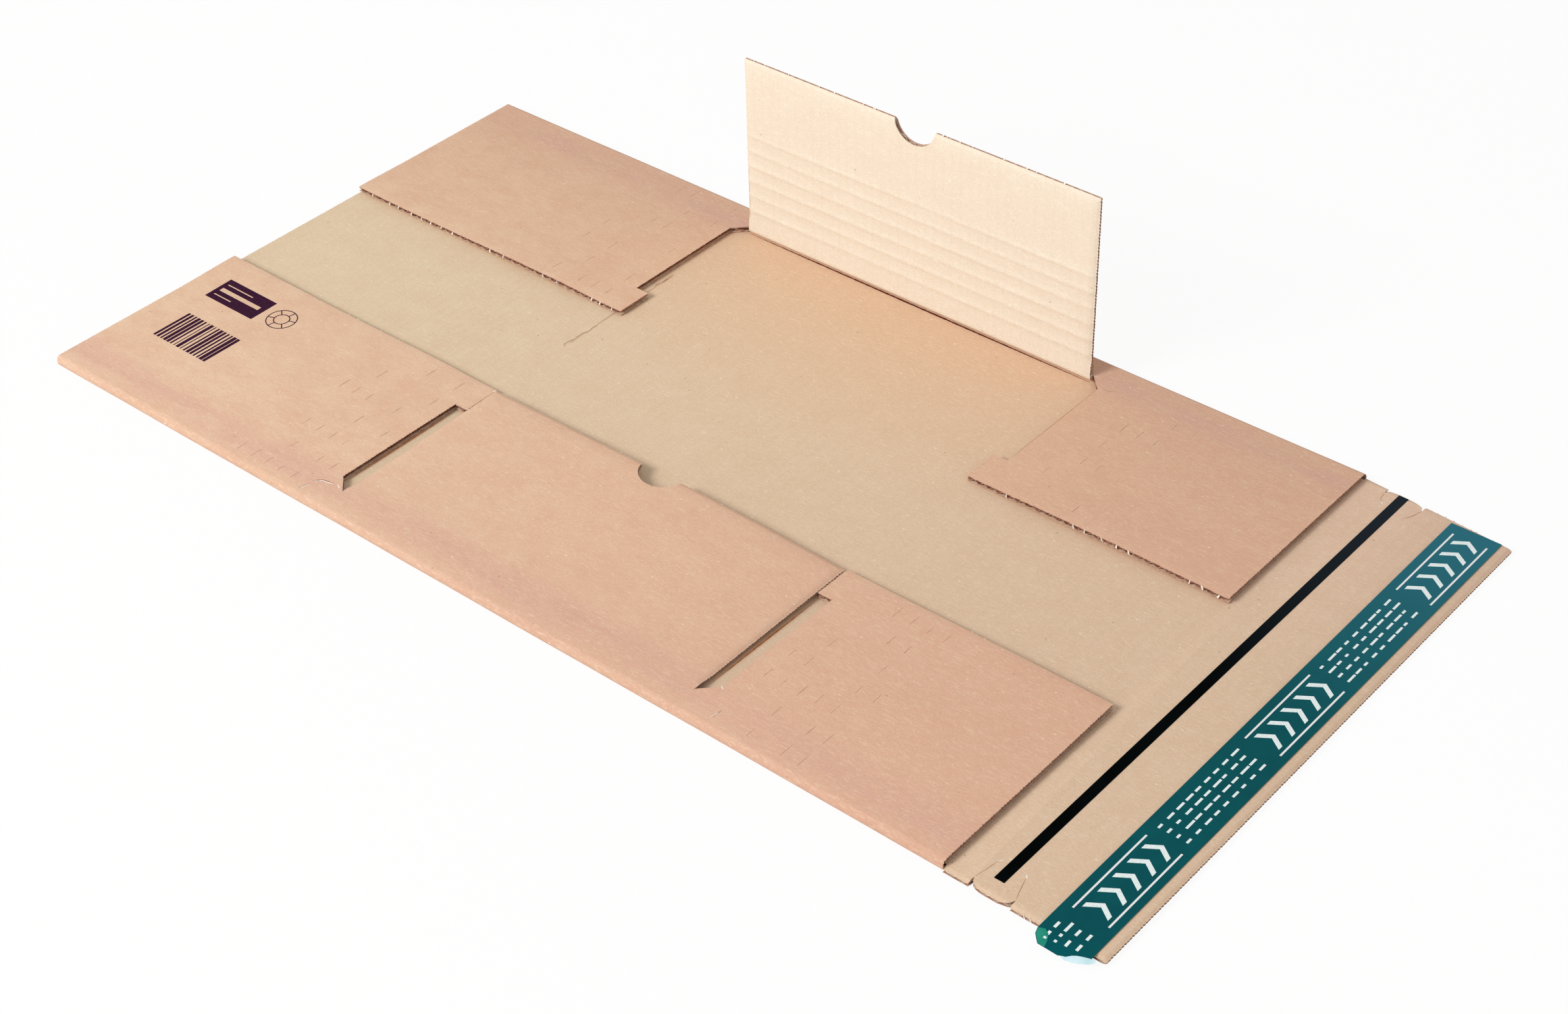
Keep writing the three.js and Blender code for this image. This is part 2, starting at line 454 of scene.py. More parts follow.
def new_tree(name: str, inputs: dict[str, str]) -> tuple[Any, Any]:
    """Starts a Geometry Nodes tree with named inputs.

    Args:
        name: Name of the tree.
        inputs: Kind of socket by name, after the geometry.

    Returns:
        The tree and its inputs.
    """
    tree = bpy.data.node_groups.new(name, "GeometryNodeTree")
    tree.interface.new_socket("Geometry", in_out="INPUT", socket_type="NodeSocketGeometry")
    for label, kind in inputs.items():
        tree.interface.new_socket(label, in_out="INPUT", socket_type=kind)
    tree.interface.new_socket("Geometry", in_out="OUTPUT", socket_type="NodeSocketGeometry")
    return tree, tree.nodes.new("NodeGroupInput").outputs


def end_tree(tree: Any, geometry: Any, material: Any) -> None:
    """Ends a tree with real geometry in one material."""
    real = add_node(tree, "GeometryNodeRealizeInstances", {"Geometry": geometry})
    dressed = add_node(tree, "GeometryNodeSetMaterial", {"Geometry": real.outputs[0], "Material": material})
    add_node(tree, "NodeGroupOutput", {0: dressed.outputs[0]})


def grow(piece: Object, tree: Any, values: dict[str, Any]) -> Object:
    """Runs a tree on a piece with these inputs and keeps the result as its plain mesh.

    Args:
        piece: The piece, with the mesh that the tree starts from.
        tree: The tree.
        values: Values of the tree's inputs, by name.

    Returns:
        The same piece.
    """
    modifier = piece.modifiers.new("grow", "NODES")
    modifier.node_group = tree
    for item in tree.interface.items_tree:
        if item.in_out == "INPUT" and item.name in values:
            modifier[item.identifier] = values[item.name]
    graph = bpy.context.evaluated_depsgraph_get()
    mesh = bpy.data.meshes.new_from_object(piece.evaluated_get(graph), depsgraph=graph)
    piece.modifiers.clear()
    old = piece.data
    piece.data = mesh
    mesh.name = piece.name
    bpy.data.meshes.remove(old)
    return piece


def flute_tree() -> Any:
    """Tree that waves a flat strip into the fluted paper and gives it its thickness, all in millimetres.

    Returns:
        The tree.
    """
    tree, given = new_tree("fluted_paper", {
        "Pitch": "NodeSocketFloat",
        "Height": "NodeSocketFloat",
        "Floor": "NodeSocketFloat",
        "Thickness": "NodeSocketFloat",
        "Paper": "NodeSocketMaterial",
    })
    place = add_node(tree, "GeometryNodeInputPosition")
    parts = add_node(tree, "ShaderNodeSeparateXYZ", {0: place.outputs[0]})
    turn = add_node(tree, "ShaderNodeMath", {0: parts.outputs[0], 1: given["Pitch"]}, operation="DIVIDE")
    angle = add_node(tree, "ShaderNodeMath", {0: turn.outputs[0], 1: 2 * math.pi}, operation="MULTIPLY")
    wave = add_node(tree, "ShaderNodeMath", {0: angle.outputs[0]}, operation="SINE")
    share = add_node(tree, "ShaderNodeMath", {0: wave.outputs[0], 1: 0.5, 2: 0.5}, operation="MULTIPLY_ADD")
    rise = add_node(
        tree, "ShaderNodeMath",
        {0: share.outputs[0], 1: given["Height"], 2: given["Floor"]}, operation="MULTIPLY_ADD")
    point = add_node(tree, "ShaderNodeCombineXYZ", {0: parts.outputs[0], 1: parts.outputs[1], 2: rise.outputs[0]})
    waved = add_node(tree, "GeometryNodeSetPosition", {"Geometry": given[0], "Position": point.outputs[0]})
    thick = add_node(tree, "ShaderNodeCombineXYZ", {2: given["Thickness"]})
    raised = add_node(
        tree, "GeometryNodeExtrudeMesh",
        {"Mesh": waved.outputs[0], "Offset": thick.outputs[0], "Offset Scale": 1.0, "Individual": False})
    under = add_node(tree, "GeometryNodeFlipFaces", {0: waved.outputs[0]})
    both = add_node(tree, "GeometryNodeJoinGeometry", {0: raised.outputs[0]})
    tree.links.new(under.outputs[0], both.inputs[0])
    closed = add_node(tree, "GeometryNodeMergeByDistance", {"Geometry": both.outputs[0], "Distance": 0.001})
    end_tree(tree, closed.outputs[0], given["Paper"])
    return tree


@dataclass
class FlutedPaper:
    """The fluted paper inside the board, laid in strips along X and waved by Geometry Nodes."""

    per_flute: int = 8
    strips: list[tuple[float, float, Callable[[float], float], Callable[[float], float], int]] = field(
        default_factory=list)

    def lay(self, x0: float, x1: float, low: Any, high: Any, rows: int = 1) -> FlutedPaper:
        """Adds a strip from x0 to x1, between two places across the sheet that may depend on x.

        Args:
            x0: Start along X.
            x1: End along X.
            low: First place across the sheet, or its rule by x.
            high: Last place across the sheet, or its rule by x.
            rows: How often the strip is divided across.

        Returns:
            The paper, so that calls can follow one another.
        """
        below = low if callable(low) else (lambda x, value=low: value)
        above = high if callable(high) else (lambda x, value=high: value)
        self.strips.append((x0, x1, below, above, rows))
        return self

    def build(self, name: str, tree: Any, place: Placer, material: Material) -> Object:
        """Waves the strips, and puts the result in place.

        Args:
            name: Name of the piece.
            tree: The tree that waves a flat strip.
            place: Turns x, across and depth into a point in the frame.
            material: Material of the paper.

        Returns:
            The object, with its mesh in metres.
        """
        vertices: list[Place] = []
        faces: list[list[int]] = []
        for x0, x1, low, high, rows in self.strips:
            step = SHEET.flute_pitch / self.per_flute
            inner = [i * step for i in range(math.ceil(x0 / step + 0.05), math.floor(x1 / step - 0.05) + 1)]
            xs = [x0, *inner, x1]
            first = len(vertices)
            for x in xs:
                for row in range(rows + 1):
                    vertices.append((x, low(x) + (high(x) - low(x)) * row / rows, 0))
            for i in range(len(xs) - 1):
                for row in range(rows):
                    a = first + i * (rows + 1) + row
                    faces.append([a, a + rows + 1, a + rows + 2, a + 1])
        piece = grow(new_object(name, new_mesh(name, vertices, faces)), tree, {
            "Pitch": SHEET.flute_pitch,
            "Height": SHEET.board - 2 * SHEET.liner - SHEET.medium,
            "Floor": SHEET.liner,
            "Thickness": SHEET.medium,
            "Paper": material,
        })
        for vertex in piece.data.vertices:
            vertex.co = Vector(place(*vertex.co)) * MM
        return soften(outward(piece), 40)


# Finishes


def object_millimetres(tree: Any, stretch: Place = (1, 1, 1)) -> Any:
    """Object coordinates in millimetres, divided by the length of the pattern along each axis."""
    where = add_node(tree, "ShaderNodeTexCoord")
    scale = [1000 / length for length in stretch]
    return add_node(tree, "ShaderNodeMapping", {"Vector": where.outputs["Object"], "Scale": scale}).outputs[0]


def object_axes(tree: Any) -> Any:
    """Object coordinates in metres, as three outputs."""
    where = add_node(tree, "ShaderNodeTexCoord")
    return add_node(tree, "ShaderNodeSeparateXYZ", {0: where.outputs["Object"]}).outputs


def new_material(name: str, roughness: float, gloss: float) -> tuple[Material, Any, Any]:
    """Starts a material on a Principled shader.

    Args:
        name: Name of the material.
        roughness: Its roughness.
        gloss: Its specular level.

    Returns:
        The material, its tree and its shader.
    """
    made = bpy.data.materials.new(name)
    made.use_nodes = True
    shader = made.node_tree.nodes["Principled BSDF"]
    shader.inputs["Roughness"].default_value = roughness
    shader.inputs["Specular IOR Level"].default_value = gloss
    return made, made.node_tree, shader


@dataclass(frozen=True)
class KraftFinish:
    """Kraft linerboard: rolled paper of long unbleached fibres.

    It is matt, with soft clouds where the pulp is thicker, short fibres that lie mostly along X, a few
    bark specks, and a faint washboard where the liner sinks between the flutes.
    """

    name: str
    left: str
    right: str
    far: str
    cloud: str
    fibre: str
    speck: str
    streak: str = "#D3A592"
    contrast: float = 1.0
    washboard: float = 0.5
    painted_flute_shade: float = 0.0
    folded: bool = False

    def material(self) -> Material:
        """Makes the paper's material.

        Returns:
            The material.
        """
        made, tree, shader = new_material(self.name, 0.88, 0.25)
        colour = self.pulp(tree)
        colour = self.clouds(tree, colour)
        colour = self.fibres(tree, colour)
        colour = self.specks(tree, colour)
        tree.links.new(colour, shader.inputs["Base Color"])
        tree.links.new(self.relief(tree), shader.inputs["Normal"])
        return made

    def pulp(self, tree: Any) -> Any:
        """Base colour, which drifts along X from the left colour to the right one and to the far colour towards the
        far side; where the far colour is darker this is painted shade, and any flute stripes are painted shade in the
        washboard's valleys.

        Args:
            tree: Tree of the material.

        Returns:
            The colour that goes out.
        """
        axes = object_axes(tree)
        along = add_node(tree, "ShaderNodeMapRange", {0: axes[0], 1: -0.26, 2: 0.24})
        ends = add_node(tree, "ShaderNodeMix", {
            0: along.outputs[0], 6: hex_colour(self.left), 7: hex_colour(self.right)}, data_type="RGBA")
        # Painted shade where the far colour is darker: less of the lamp's light reaches the far side.
        across = add_node(tree, "ShaderNodeMapRange", {0: axes[1], 1: 0.02, 2: 0.17, 4: 0.75})
        colour = add_node(tree, "ShaderNodeMix", {
            0: across.outputs[0], 6: ends.outputs[2], 7: hex_colour(self.far)}, data_type="RGBA").outputs[2]
        if not self.painted_flute_shade:
            return colour
        # Painted shade: flute stripes, darker where the liner sinks between the flutes.
        turns = add_node(tree, "ShaderNodeMath", {
            0: axes[0], 1: 2 * math.pi / (SHEET.flute_pitch * MM)}, operation="MULTIPLY")
        wave = add_node(tree, "ShaderNodeMath", {0: turns.outputs[0]}, operation="SINE")
        share = add_node(tree, "ShaderNodeMapRange", {0: wave.outputs[0], 1: 0.2, 2: 1.0, 4: self.painted_flute_shade})
        return add_node(tree, "ShaderNodeMix", {
            0: share.outputs[0], 6: colour, 7: hex_colour(self.cloud)}, data_type="RGBA").outputs[2]

    def clouds(self, tree: Any, colour: Any) -> Any:
        """Soft patches of about 16 mm, and on the outer face redder streaks where it was folded and painted shade
        over the outermost part of each fold.

        Args:
            tree: Tree of the material.
            colour: Colour that comes in.

        Returns:
            The colour that goes out.
        """
        large = add_node(tree, "ShaderNodeTexNoise", {
            "Vector": object_millimetres(tree, (19, 13, 16)), "Scale": 1.0, "Detail": 6.0, "Roughness": 0.68})
        share = add_node(tree, "ShaderNodeMapRange", {
            0: large.outputs[0], 1: 0.36, 2: 0.66, 4: 0.46 * self.contrast})
        mixed = add_node(tree, "ShaderNodeMix", {
            0: share.outputs[0], 6: colour, 7: hex_colour(self.cloud)}, data_type="RGBA").outputs[2]
        if not self.folded:
            return mixed
        axes = object_axes(tree)
        away = add_node(tree, "ShaderNodeMath", {0: axes[1]}, operation="ABSOLUTE")
        rise = add_node(tree, "ShaderNodeMapRange", {0: away.outputs[0], 1: 0.146, 2: 0.160})
        fall = add_node(tree, "ShaderNodeMapRange", {0: away.outputs[0], 1: 0.166, 2: 0.173, 3: 1.0, 4: 0.3})
        band = add_node(tree, "ShaderNodeMath", {0: rise.outputs[0], 1: fall.outputs[0]}, operation="MULTIPLY")
        streak = add_node(tree, "ShaderNodeTexNoise", {
            "Vector": object_millimetres(tree, (60, 9, 30)), "Scale": 1.0, "Detail": 4.0})
        strong = add_node(tree, "ShaderNodeMapRange", {0: streak.outputs[0], 1: 0.35, 2: 0.65, 3: 0.2, 4: 0.8})
        both = add_node(tree, "ShaderNodeMath", {0: band.outputs[0], 1: strong.outputs[0]}, operation="MULTIPLY")
        mixed = add_node(tree, "ShaderNodeMix", {
            0: both.outputs[0], 6: mixed, 7: hex_colour(self.streak)}, data_type="RGBA").outputs[2]
        # Painted shade: the outermost part of each fold is darkened.
        painted_fold_shade = add_node(tree, "ShaderNodeMapRange", {0: away.outputs[0], 1: 0.1755, 2: 0.1785, 4: 0.22})
        return add_node(tree, "ShaderNodeMix", {
            0: painted_fold_shade.outputs[0], 6: mixed, 7: hex_colour("#8E6A5E")}, data_type="RGBA").outputs[2]

    def fibres(self, tree: Any, colour: Any) -> Any:
        """Light fibres about 0.5 mm wide and 4 mm long; real ones are a tenth of that width.

        Args:
            tree: Tree of the material.
            colour: Colour that comes in.

        Returns:
            The colour that goes out.
        """
        long = add_node(tree, "ShaderNodeTexNoise", {
            "Vector": object_millimetres(tree, (4.2, 0.8, 1.6)), "Scale": 1.0, "Detail": 3.0, "Roughness": 0.6,
            "Distortion": 0.8})
        share = add_node(tree, "ShaderNodeMapRange", {
            0: long.outputs[0], 1: 0.5, 2: 0.85, 4: 0.6})
        lit = add_node(tree, "ShaderNodeMix", {
            0: share.outputs[0], 6: colour, 7: hex_colour(self.fibre)}, data_type="RGBA")
        grain = add_node(tree, "ShaderNodeTexNoise", {
            "Vector": object_millimetres(tree, (1.1, 0.7, 0.8)), "Scale": 1.0, "Detail": 2.0})
        depth = add_node(tree, "ShaderNodeMapRange", {0: grain.outputs[0], 1: 0.3, 2: 0.7, 3: 0.94, 4: 1.05})
        return add_node(tree, "ShaderNodeMix", {
            0: 1.0, 6: lit.outputs[2], 7: depth.outputs[0]}, data_type="RGBA", blend_type="MULTIPLY").outputs[2]

    def specks(self, tree: Any, colour: Any) -> Any:
        """A few bark specks, dark and light, about 0.8 mm across.

        Args:
            tree: Tree of the material.
            colour: Colour that comes in.

        Returns:
            The colour that goes out.
        """
        cells = add_node(tree, "ShaderNodeTexVoronoi", {
            "Vector": object_millimetres(tree, (17, 12, 14)), "Scale": 1.0, "Randomness": 1.0})
        near = add_node(tree, "ShaderNodeMapRange", {0: cells.outputs["Distance"], 1: 0.02, 2: 0.05, 3: 0.55, 4: 0.0})
        dark = add_node(tree, "ShaderNodeMix", {
            0: near.outputs[0], 6: colour, 7: hex_colour(self.speck)}, data_type="RGBA")
        others = add_node(tree, "ShaderNodeTexVoronoi", {
            "Vector": object_millimetres(tree, (13, 6, 8)), "Scale": 1.0, "Randomness": 1.0})
        close = add_node(tree, "ShaderNodeMapRange", {
            0: others.outputs["Distance"], 1: 0.04, 2: 0.08, 3: 0.7, 4: 0.0})
        return add_node(tree, "ShaderNodeMix", {
            0: close.outputs[0], 6: dark.outputs[2], 7: hex_colour(self.fibre)}, data_type="RGBA").outputs[2]

    def relief(self, tree: Any) -> Any:
        """Fine paper grain, over the shallow washboard of the flutes.

        Args:
            tree: Tree of the material.

        Returns:
            The bent normal.
        """
        axes = object_axes(tree)
        angle = add_node(tree, "ShaderNodeMath", {
            0: axes[0], 1: 2 * math.pi / (SHEET.flute_pitch * MM)}, operation="MULTIPLY")
        wave = add_node(tree, "ShaderNodeMath", {0: angle.outputs[0]}, operation="SINE")
        low = add_node(tree, "ShaderNodeBump", {
            "Height": wave.outputs[0], "Strength": self.washboard, "Distance": 0.03 * MM})
        grain = add_node(tree, "ShaderNodeTexNoise", {
            "Vector": object_millimetres(tree, (1.6, 0.9, 1.0)), "Scale": 1.0, "Detail": 4.0})
        return add_node(tree, "ShaderNodeBump", {
            "Height": grain.outputs[0], "Strength": 0.35, "Distance": 0.10 * MM, "Normal": low.outputs[0]}).outputs[0]


@dataclass(frozen=True)
class CutPaper:
    """Cut edge of kraft paper: fuzzy fibre ends, darker than the face, with paler torn tufts; also used for painted
    shadow, painted bounce light and painted highlights.
    """

    name: str
    dark: str
    pale: str

    def material(self) -> Material:
        """Makes the material of cut edges and of the fluted paper.

        Returns:
            The material.
        """
        made, tree, shader = new_material(self.name, 0.95, 0.15)
        tufts = add_node(tree, "ShaderNodeTexNoise", {
            "Vector": object_millimetres(tree, (2.6, 2.6, 1.0)), "Scale": 1.0, "Detail": 4.0, "Roughness": 0.7})
        share = add_node(tree, "ShaderNodeMapRange", {0: tufts.outputs[0], 1: 0.42, 2: 0.7})
        mixed = add_node(tree, "ShaderNodeMix", {
            0: share.outputs[0], 6: hex_colour(self.dark), 7: hex_colour(self.pale)}, data_type="RGBA")
        tree.links.new(mixed.outputs[2], shader.inputs["Base Color"])
        bump = add_node(tree, "ShaderNodeBump", {
            "Height": tufts.outputs[0], "Strength": 0.6, "Distance": 0.2 * MM})
        tree.links.new(bump.outputs[0], shader.inputs["Normal"])
        return made


@dataclass(frozen=True)
class FilmFinish:
    """Thin plastic film or a bead of adhesive: even colour, soft gloss, slightly uneven surface.

    A film with a far colour drifts to it towards the far side, where it picks up more of the light.
    """

    name: str
    colour: str
    shade: str
    roughness: float
    gloss: float = 0.5
    far: str = ""
    uneven: float = 9.0
    bump: float = 0.05

    def material(self) -> Material:
        """Makes the film's material.

        Returns:
            The material.
        """
        made, tree, shader = new_material(self.name, self.roughness, self.gloss)
        shader.inputs["IOR"].default_value = 1.5
        cockle = add_node(tree, "ShaderNodeTexNoise", {
            "Vector": object_millimetres(tree, (self.uneven, self.uneven * 1.6, self.uneven)), "Scale": 1.0,
            "Detail": 3.0})
        share = add_node(tree, "ShaderNodeMapRange", {0: cockle.outputs[0], 1: 0.35, 2: 0.65})
        mixed = add_node(tree, "ShaderNodeMix", {
            0: share.outputs[0], 6: hex_colour(self.colour), 7: hex_colour(self.shade)}, data_type="RGBA")
        colour = mixed.outputs[2]
        if self.far:
            axes = object_axes(tree)
            across = add_node(tree, "ShaderNodeMapRange", {0: axes[1], 1: 0.0, 2: 0.17})
            colour = add_node(tree, "ShaderNodeMix", {
                0: across.outputs[0], 6: colour, 7: hex_colour(self.far)}, data_type="RGBA").outputs[2]
        tree.links.new(colour, shader.inputs["Base Color"])
        bump = add_node(tree, "ShaderNodeBump", {
            "Height": cockle.outputs[0], "Strength": 0.5, "Distance": self.bump * MM})
        tree.links.new(bump.outputs[0], shader.inputs["Normal"])
        return made


@dataclass(frozen=True)
class InkFinish:
    """Water-based printing ink on kraft paper: matt, thin, with pinholes where the paper shows."""

    name: str
    colour: str
    thin: str
    roughness: float

    def material(self) -> Material:
        """Makes the ink's material.

        Returns:
            The material.
        """
        made, tree, shader = new_material(self.name, self.roughness, 0.1)
        pores = add_node(tree, "ShaderNodeTexNoise", {
            "Vector": object_millimetres(tree, (1.4, 0.8, 1.0)), "Scale": 1.0, "Detail": 3.0})
        share = add_node(tree, "ShaderNodeMapRange", {0: pores.outputs[0], 1: 0.45, 2: 0.75})
        mixed = add_node(tree, "ShaderNodeMix", {
            0: share.outputs[0], 6: hex_colour(self.colour), 7: hex_colour(self.thin)}, data_type="RGBA")
        tree.links.new(mixed.outputs[2], shader.inputs["Base Color"])
        return made


class Finishes:
    """The materials of the mailer, each made once."""

    def __init__(self) -> None:
        """Makes all the materials."""
        # Kraft linerboard is brown, matt paper. The outer one is a little redder and more clouded.
        self.outer = KraftFinish(
            "kraft_liner_outer", "#E2BFA1", "#D9AE93", "#DAB092", "#D4A488", "#F0D6B8", "#A9805F",
            folded=True).material()
        inner = KraftFinish(
            "kraft_liner_inner", "#DFC8A9", "#DBBDA1", "#D9AE8F", "#D2B08E", "#EFDFC4", "#9A7B58",
            contrast=0.6, washboard=0.65, painted_flute_shade=0.1)
        self.inner = inner.material()
        self.closure = replace(inner, name="kraft_liner_closure", far="#E6C2AA").material()
        # Painted light: the flap that stands up faces the lamp, and its inner liner is painted as a paler, whiter
        # copy of the inner one.
        self.raised = KraftFinish(
            "kraft_liner_inner_painted_lit", "#E8DCC9", "#E8DCCA", "#E8DBC8", "#E0CEB6", "#F3EADB", "#A98A66",
            contrast=0.5, washboard=0.9, painted_flute_shade=0.12).material()
        # Where the paper is cut or torn, its fibre ends show: rough, and darker or paler than the face; the last
        # three below are painted shadow, painted bounce light and painted highlight.
        self.edge = CutPaper("kraft_cut_edge", "#A26A58", "#EBD2BE").material()
        self.pale_edge = CutPaper("kraft_cut_edge_pale", "#C9A68F", "#F4E6D8").material()
        self.flute = CutPaper("kraft_fluting", "#8F5A4A", "#D6AF92").material()
        self.pale_flute = CutPaper("kraft_fluting_pale", "#C9AE98", "#EAD7C2").material()
        self.tuft = CutPaper("torn_paper_fibre", "#EFE0D2", "#FBF6EE").material()
        self.cut = CutPaper("kraft_cut_line", "#7E5544", "#A67C62").material()
        self.slit = CutPaper("kraft_fine_cut", "#A87D64", "#C59C82").material()
        # Painted shadow: near-black brown for the shaded gap under the far flap's foot.
        self.gap = CutPaper("kraft_painted_foot_shadow", "#54221E", "#844236").material()
        # Painted bounce light: orange glow that light bounced off a slit's wall casts on the bed.
        self.glow = CutPaper("kraft_slit_foot", "#C5713A", "#DB9560").material()
        # Painted highlight: pale paper for the lit side of lifted lips beside cuts and cracks.
        self.painted_lip_highlight = CutPaper("kraft_lip_painted_highlight", "#E2C0A4", "#EED2B8").material()
        # Flexo ink lies thin and matt on the paper.
        self.ink = InkFinish("flexo_ink_dark", "#321029", "#431F38", 0.92).material()
        self.white_ink = InkFinish("flexo_ink_white", "#E9F1F0", "#CFE0DE", 0.9).material()
        self.bare = InkFinish("kraft_left_bare", "#DDBB9E", "#D3AE92", 0.9).material()
        # Films and adhesives are smooth, with a soft gloss.
        self.tape = FilmFinish("tear_tape_film", "#010303", "#030606", 0.6, 0.01, "#20272D").material()
        self.glue = FilmFinish("dried_paper_glue", "#E8E2CF", "#DED5BC", 0.45).material()
        self.adhesive = FilmFinish("hot_melt_adhesive", "#E6DCC0", "#DDD0AE", 0.3).material()
        self.liner = FilmFinish("siliconised_liner_film", "#005156", "#004C52", 0.42, 0.05, "#276A79").material()
        # Painted light: a paler green where light comes through the film from behind, past the board's edge.
        self.liner_lit = FilmFinish("siliconised_liner_film_lit", "#127A68", "#2E9A80", 0.42, gloss=0.12).material()
        self.backing = FilmFinish("clear_backing_film", "#BFE0E6", "#D9EEF2", 0.4, gloss=0.3).material()

    @property
    def outside(self) -> list[Material]:
        """Outer liner and its cut edge."""
        return [self.outer, self.edge]

    @property
    def inside(self) -> list[Material]:
        """Inner liner and its cut edge."""
        return [self.inner, self.edge]

    @property
    def upright(self) -> list[Material]:
        """Inner liner of the flap that stands up, painted paler for the light on its face, and its cut edge."""
        return [self.raised, self.pale_edge]

    @property
    def crushed(self) -> list[Material]:
        """Inner liner and the crushed edge of the closure end."""
        return [self.closure, self.pale_edge]


@dataclass
class Board:
    """Makes stretches of board as an outer liner, an inner liner and the fluted paper between them."""

    finishes: Finishes
    tree: Any

    def liners(
        self,
        name: str,
        outlines: Sequence[Sequence[Point]],
        place: Placer,
        cuts: tuple[Iterable[float], Iterable[float]],
        inside: Sequence[Material] = (),
    ) -> list[Object]:
        """Makes the two flat papers of a stretch of board.

        Args:
            name: Start of the pieces' names.
            outlines: Outlines on the unfolded sheet.
            place: Turns x, across and depth into a point in the frame.
            cuts: Places along X and across the sheet where the plies are divided so that they can bend.
            inside: Materials of the inner liner and its edge, where they aren't the usual ones.

        Returns:
            The outer and the inner liner.
        """
        cuts = (list(cuts[0]), list(cuts[1]))
        inside = inside or self.finishes.inside
        outer = ply(f"{name}_outer_liner", outlines, (0, SHEET.liner), place, cuts, self.finishes.outside)
        low = SHEET.board - SHEET.liner
        inner = ply(f"{name}_inner_liner", outlines, (SHEET.board, low), place, cuts, inside)
        return [soften(outer), soften(inner)]

    def core(self, name: str, paper: FlutedPaper, place: Placer, pale: bool = False) -> Object:
        """Makes the fluted paper of a stretch of board, paler where its edge is crushed."""
        medium = self.finishes.pale_flute if pale else self.finishes.flute
        return paper.build(f"{name}_fluting", self.tree, place, medium)


def fold_cuts() -> list[float]:
    """Places across the sheet where a ply is divided so that it bends round the two outer folds."""
    one = [SHEET.flat + SHEET.arc * i / 12 for i in range(13)]
    return [side * value for side in (-1, 1) for value in one]


def fold_columns(low: float, high: float) -> list[float]:
    """Places along X where a folded ply is divided so that its folds can ripple."""
    step = SHEET.flute_pitch / 2
    return [i * step for i in range(math.ceil(low / step + 0.1), math.floor(high / step - 0.1) + 1)]


def slit_slant(side: int) -> Callable[[float], float]:
    """Where the slanting end of a slit runs across the sheet, by its place along X."""
    return lambda x: side * SHEET.over(SHEET.flap_crease - (abs(x) - SHEET.flap_side))


@dataclass
class CentrePanel:
    """The bed between the wing creases, with the rims that stay folded down behind the flap creases."""

    board: Board
    hinge: float = SHEET.wing_hinge

    def build(self) -> None:
        """Makes the centre panel's plies."""
        reach = SHEET.over(SHEET.flap_crease)
        outline = [(-self.hinge, -reach), (self.hinge, -reach), (self.hinge, reach), (-self.hinge, reach)]
        cuts = (fold_columns(-self.hinge, self.hinge), fold_cuts())
        pieces = self.board.liners("centre_panel", [outline], SHEET.fold, cuts)
        blind = SHEET.half_width - SHEET.crushed
        paper = FlutedPaper().lay(-self.hinge, self.hinge, -blind, blind)
        pieces.append(self.board.core("centre_panel", paper, SHEET.fold))
        finish_board(pieces, "centre", node="centre_panel")


def bead(x: float) -> float:
    """Height of the bead that the creasing rule leaves along a wing crease, at a place along X."""
    return SHEET.bead_height * math.exp(-(abs(x) - SHEET.crease) ** 2)


def crease_bead(x: float, across: float, depth: float) -> Place:
    """Folds a point of the sheet, with the bead on the inner face.

    Args:
        x: Place along the sheet.
        across: Place across it.
        depth: Distance below the outer face.

    Returns:
        The point in the frame.
    """
    px, py, pz = SHEET.fold(x, across, depth)
    if abs(across) < SHEET.flat - 1 and depth > SHEET.board / 2:
        pz += bead(x)
    return px, py, pz


@dataclass
class WingCrease:
    """The strip of the sheet that bends where a wing folds up."""

    board: Board
    end: End

    def build(self) -> None:
        """Makes the bending strip's plies."""
        name = f"{self.end.label}_crease"
        body = self.end.body
        e = self.end.value
        x0, x1 = SHEET.wing_hinge, SHEET.bend_end
        start, finish = slit_slant(1)(x0), slit_slant(1)(x1)
        outline = [(e * x0, -start), (e * x1, -finish), (e * x1, finish), (e * x0, start)]
        columns = [e * v for v in (123.5, 124.6, 125.4, 126.0, 126.5, 127.0, 127.5, 128.0, 128.6)]
        pieces = self.board.liners(name, [outline], crease_bead, (columns, fold_cuts()))
        blind = SHEET.half_width - SHEET.crushed
        low, high = sorted((e * x0, e * x1))
        paper = FlutedPaper().lay(low, high, -blind, blind)
        for side in (-1, 1):
            paper.lay(low, high, side * SHEET.over(blind), slit_slant(side))
        pieces.append(self.board.core(name, paper, SHEET.fold))
        for piece in pieces:
            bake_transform(piece)
            declared(piece, "kraft_board")


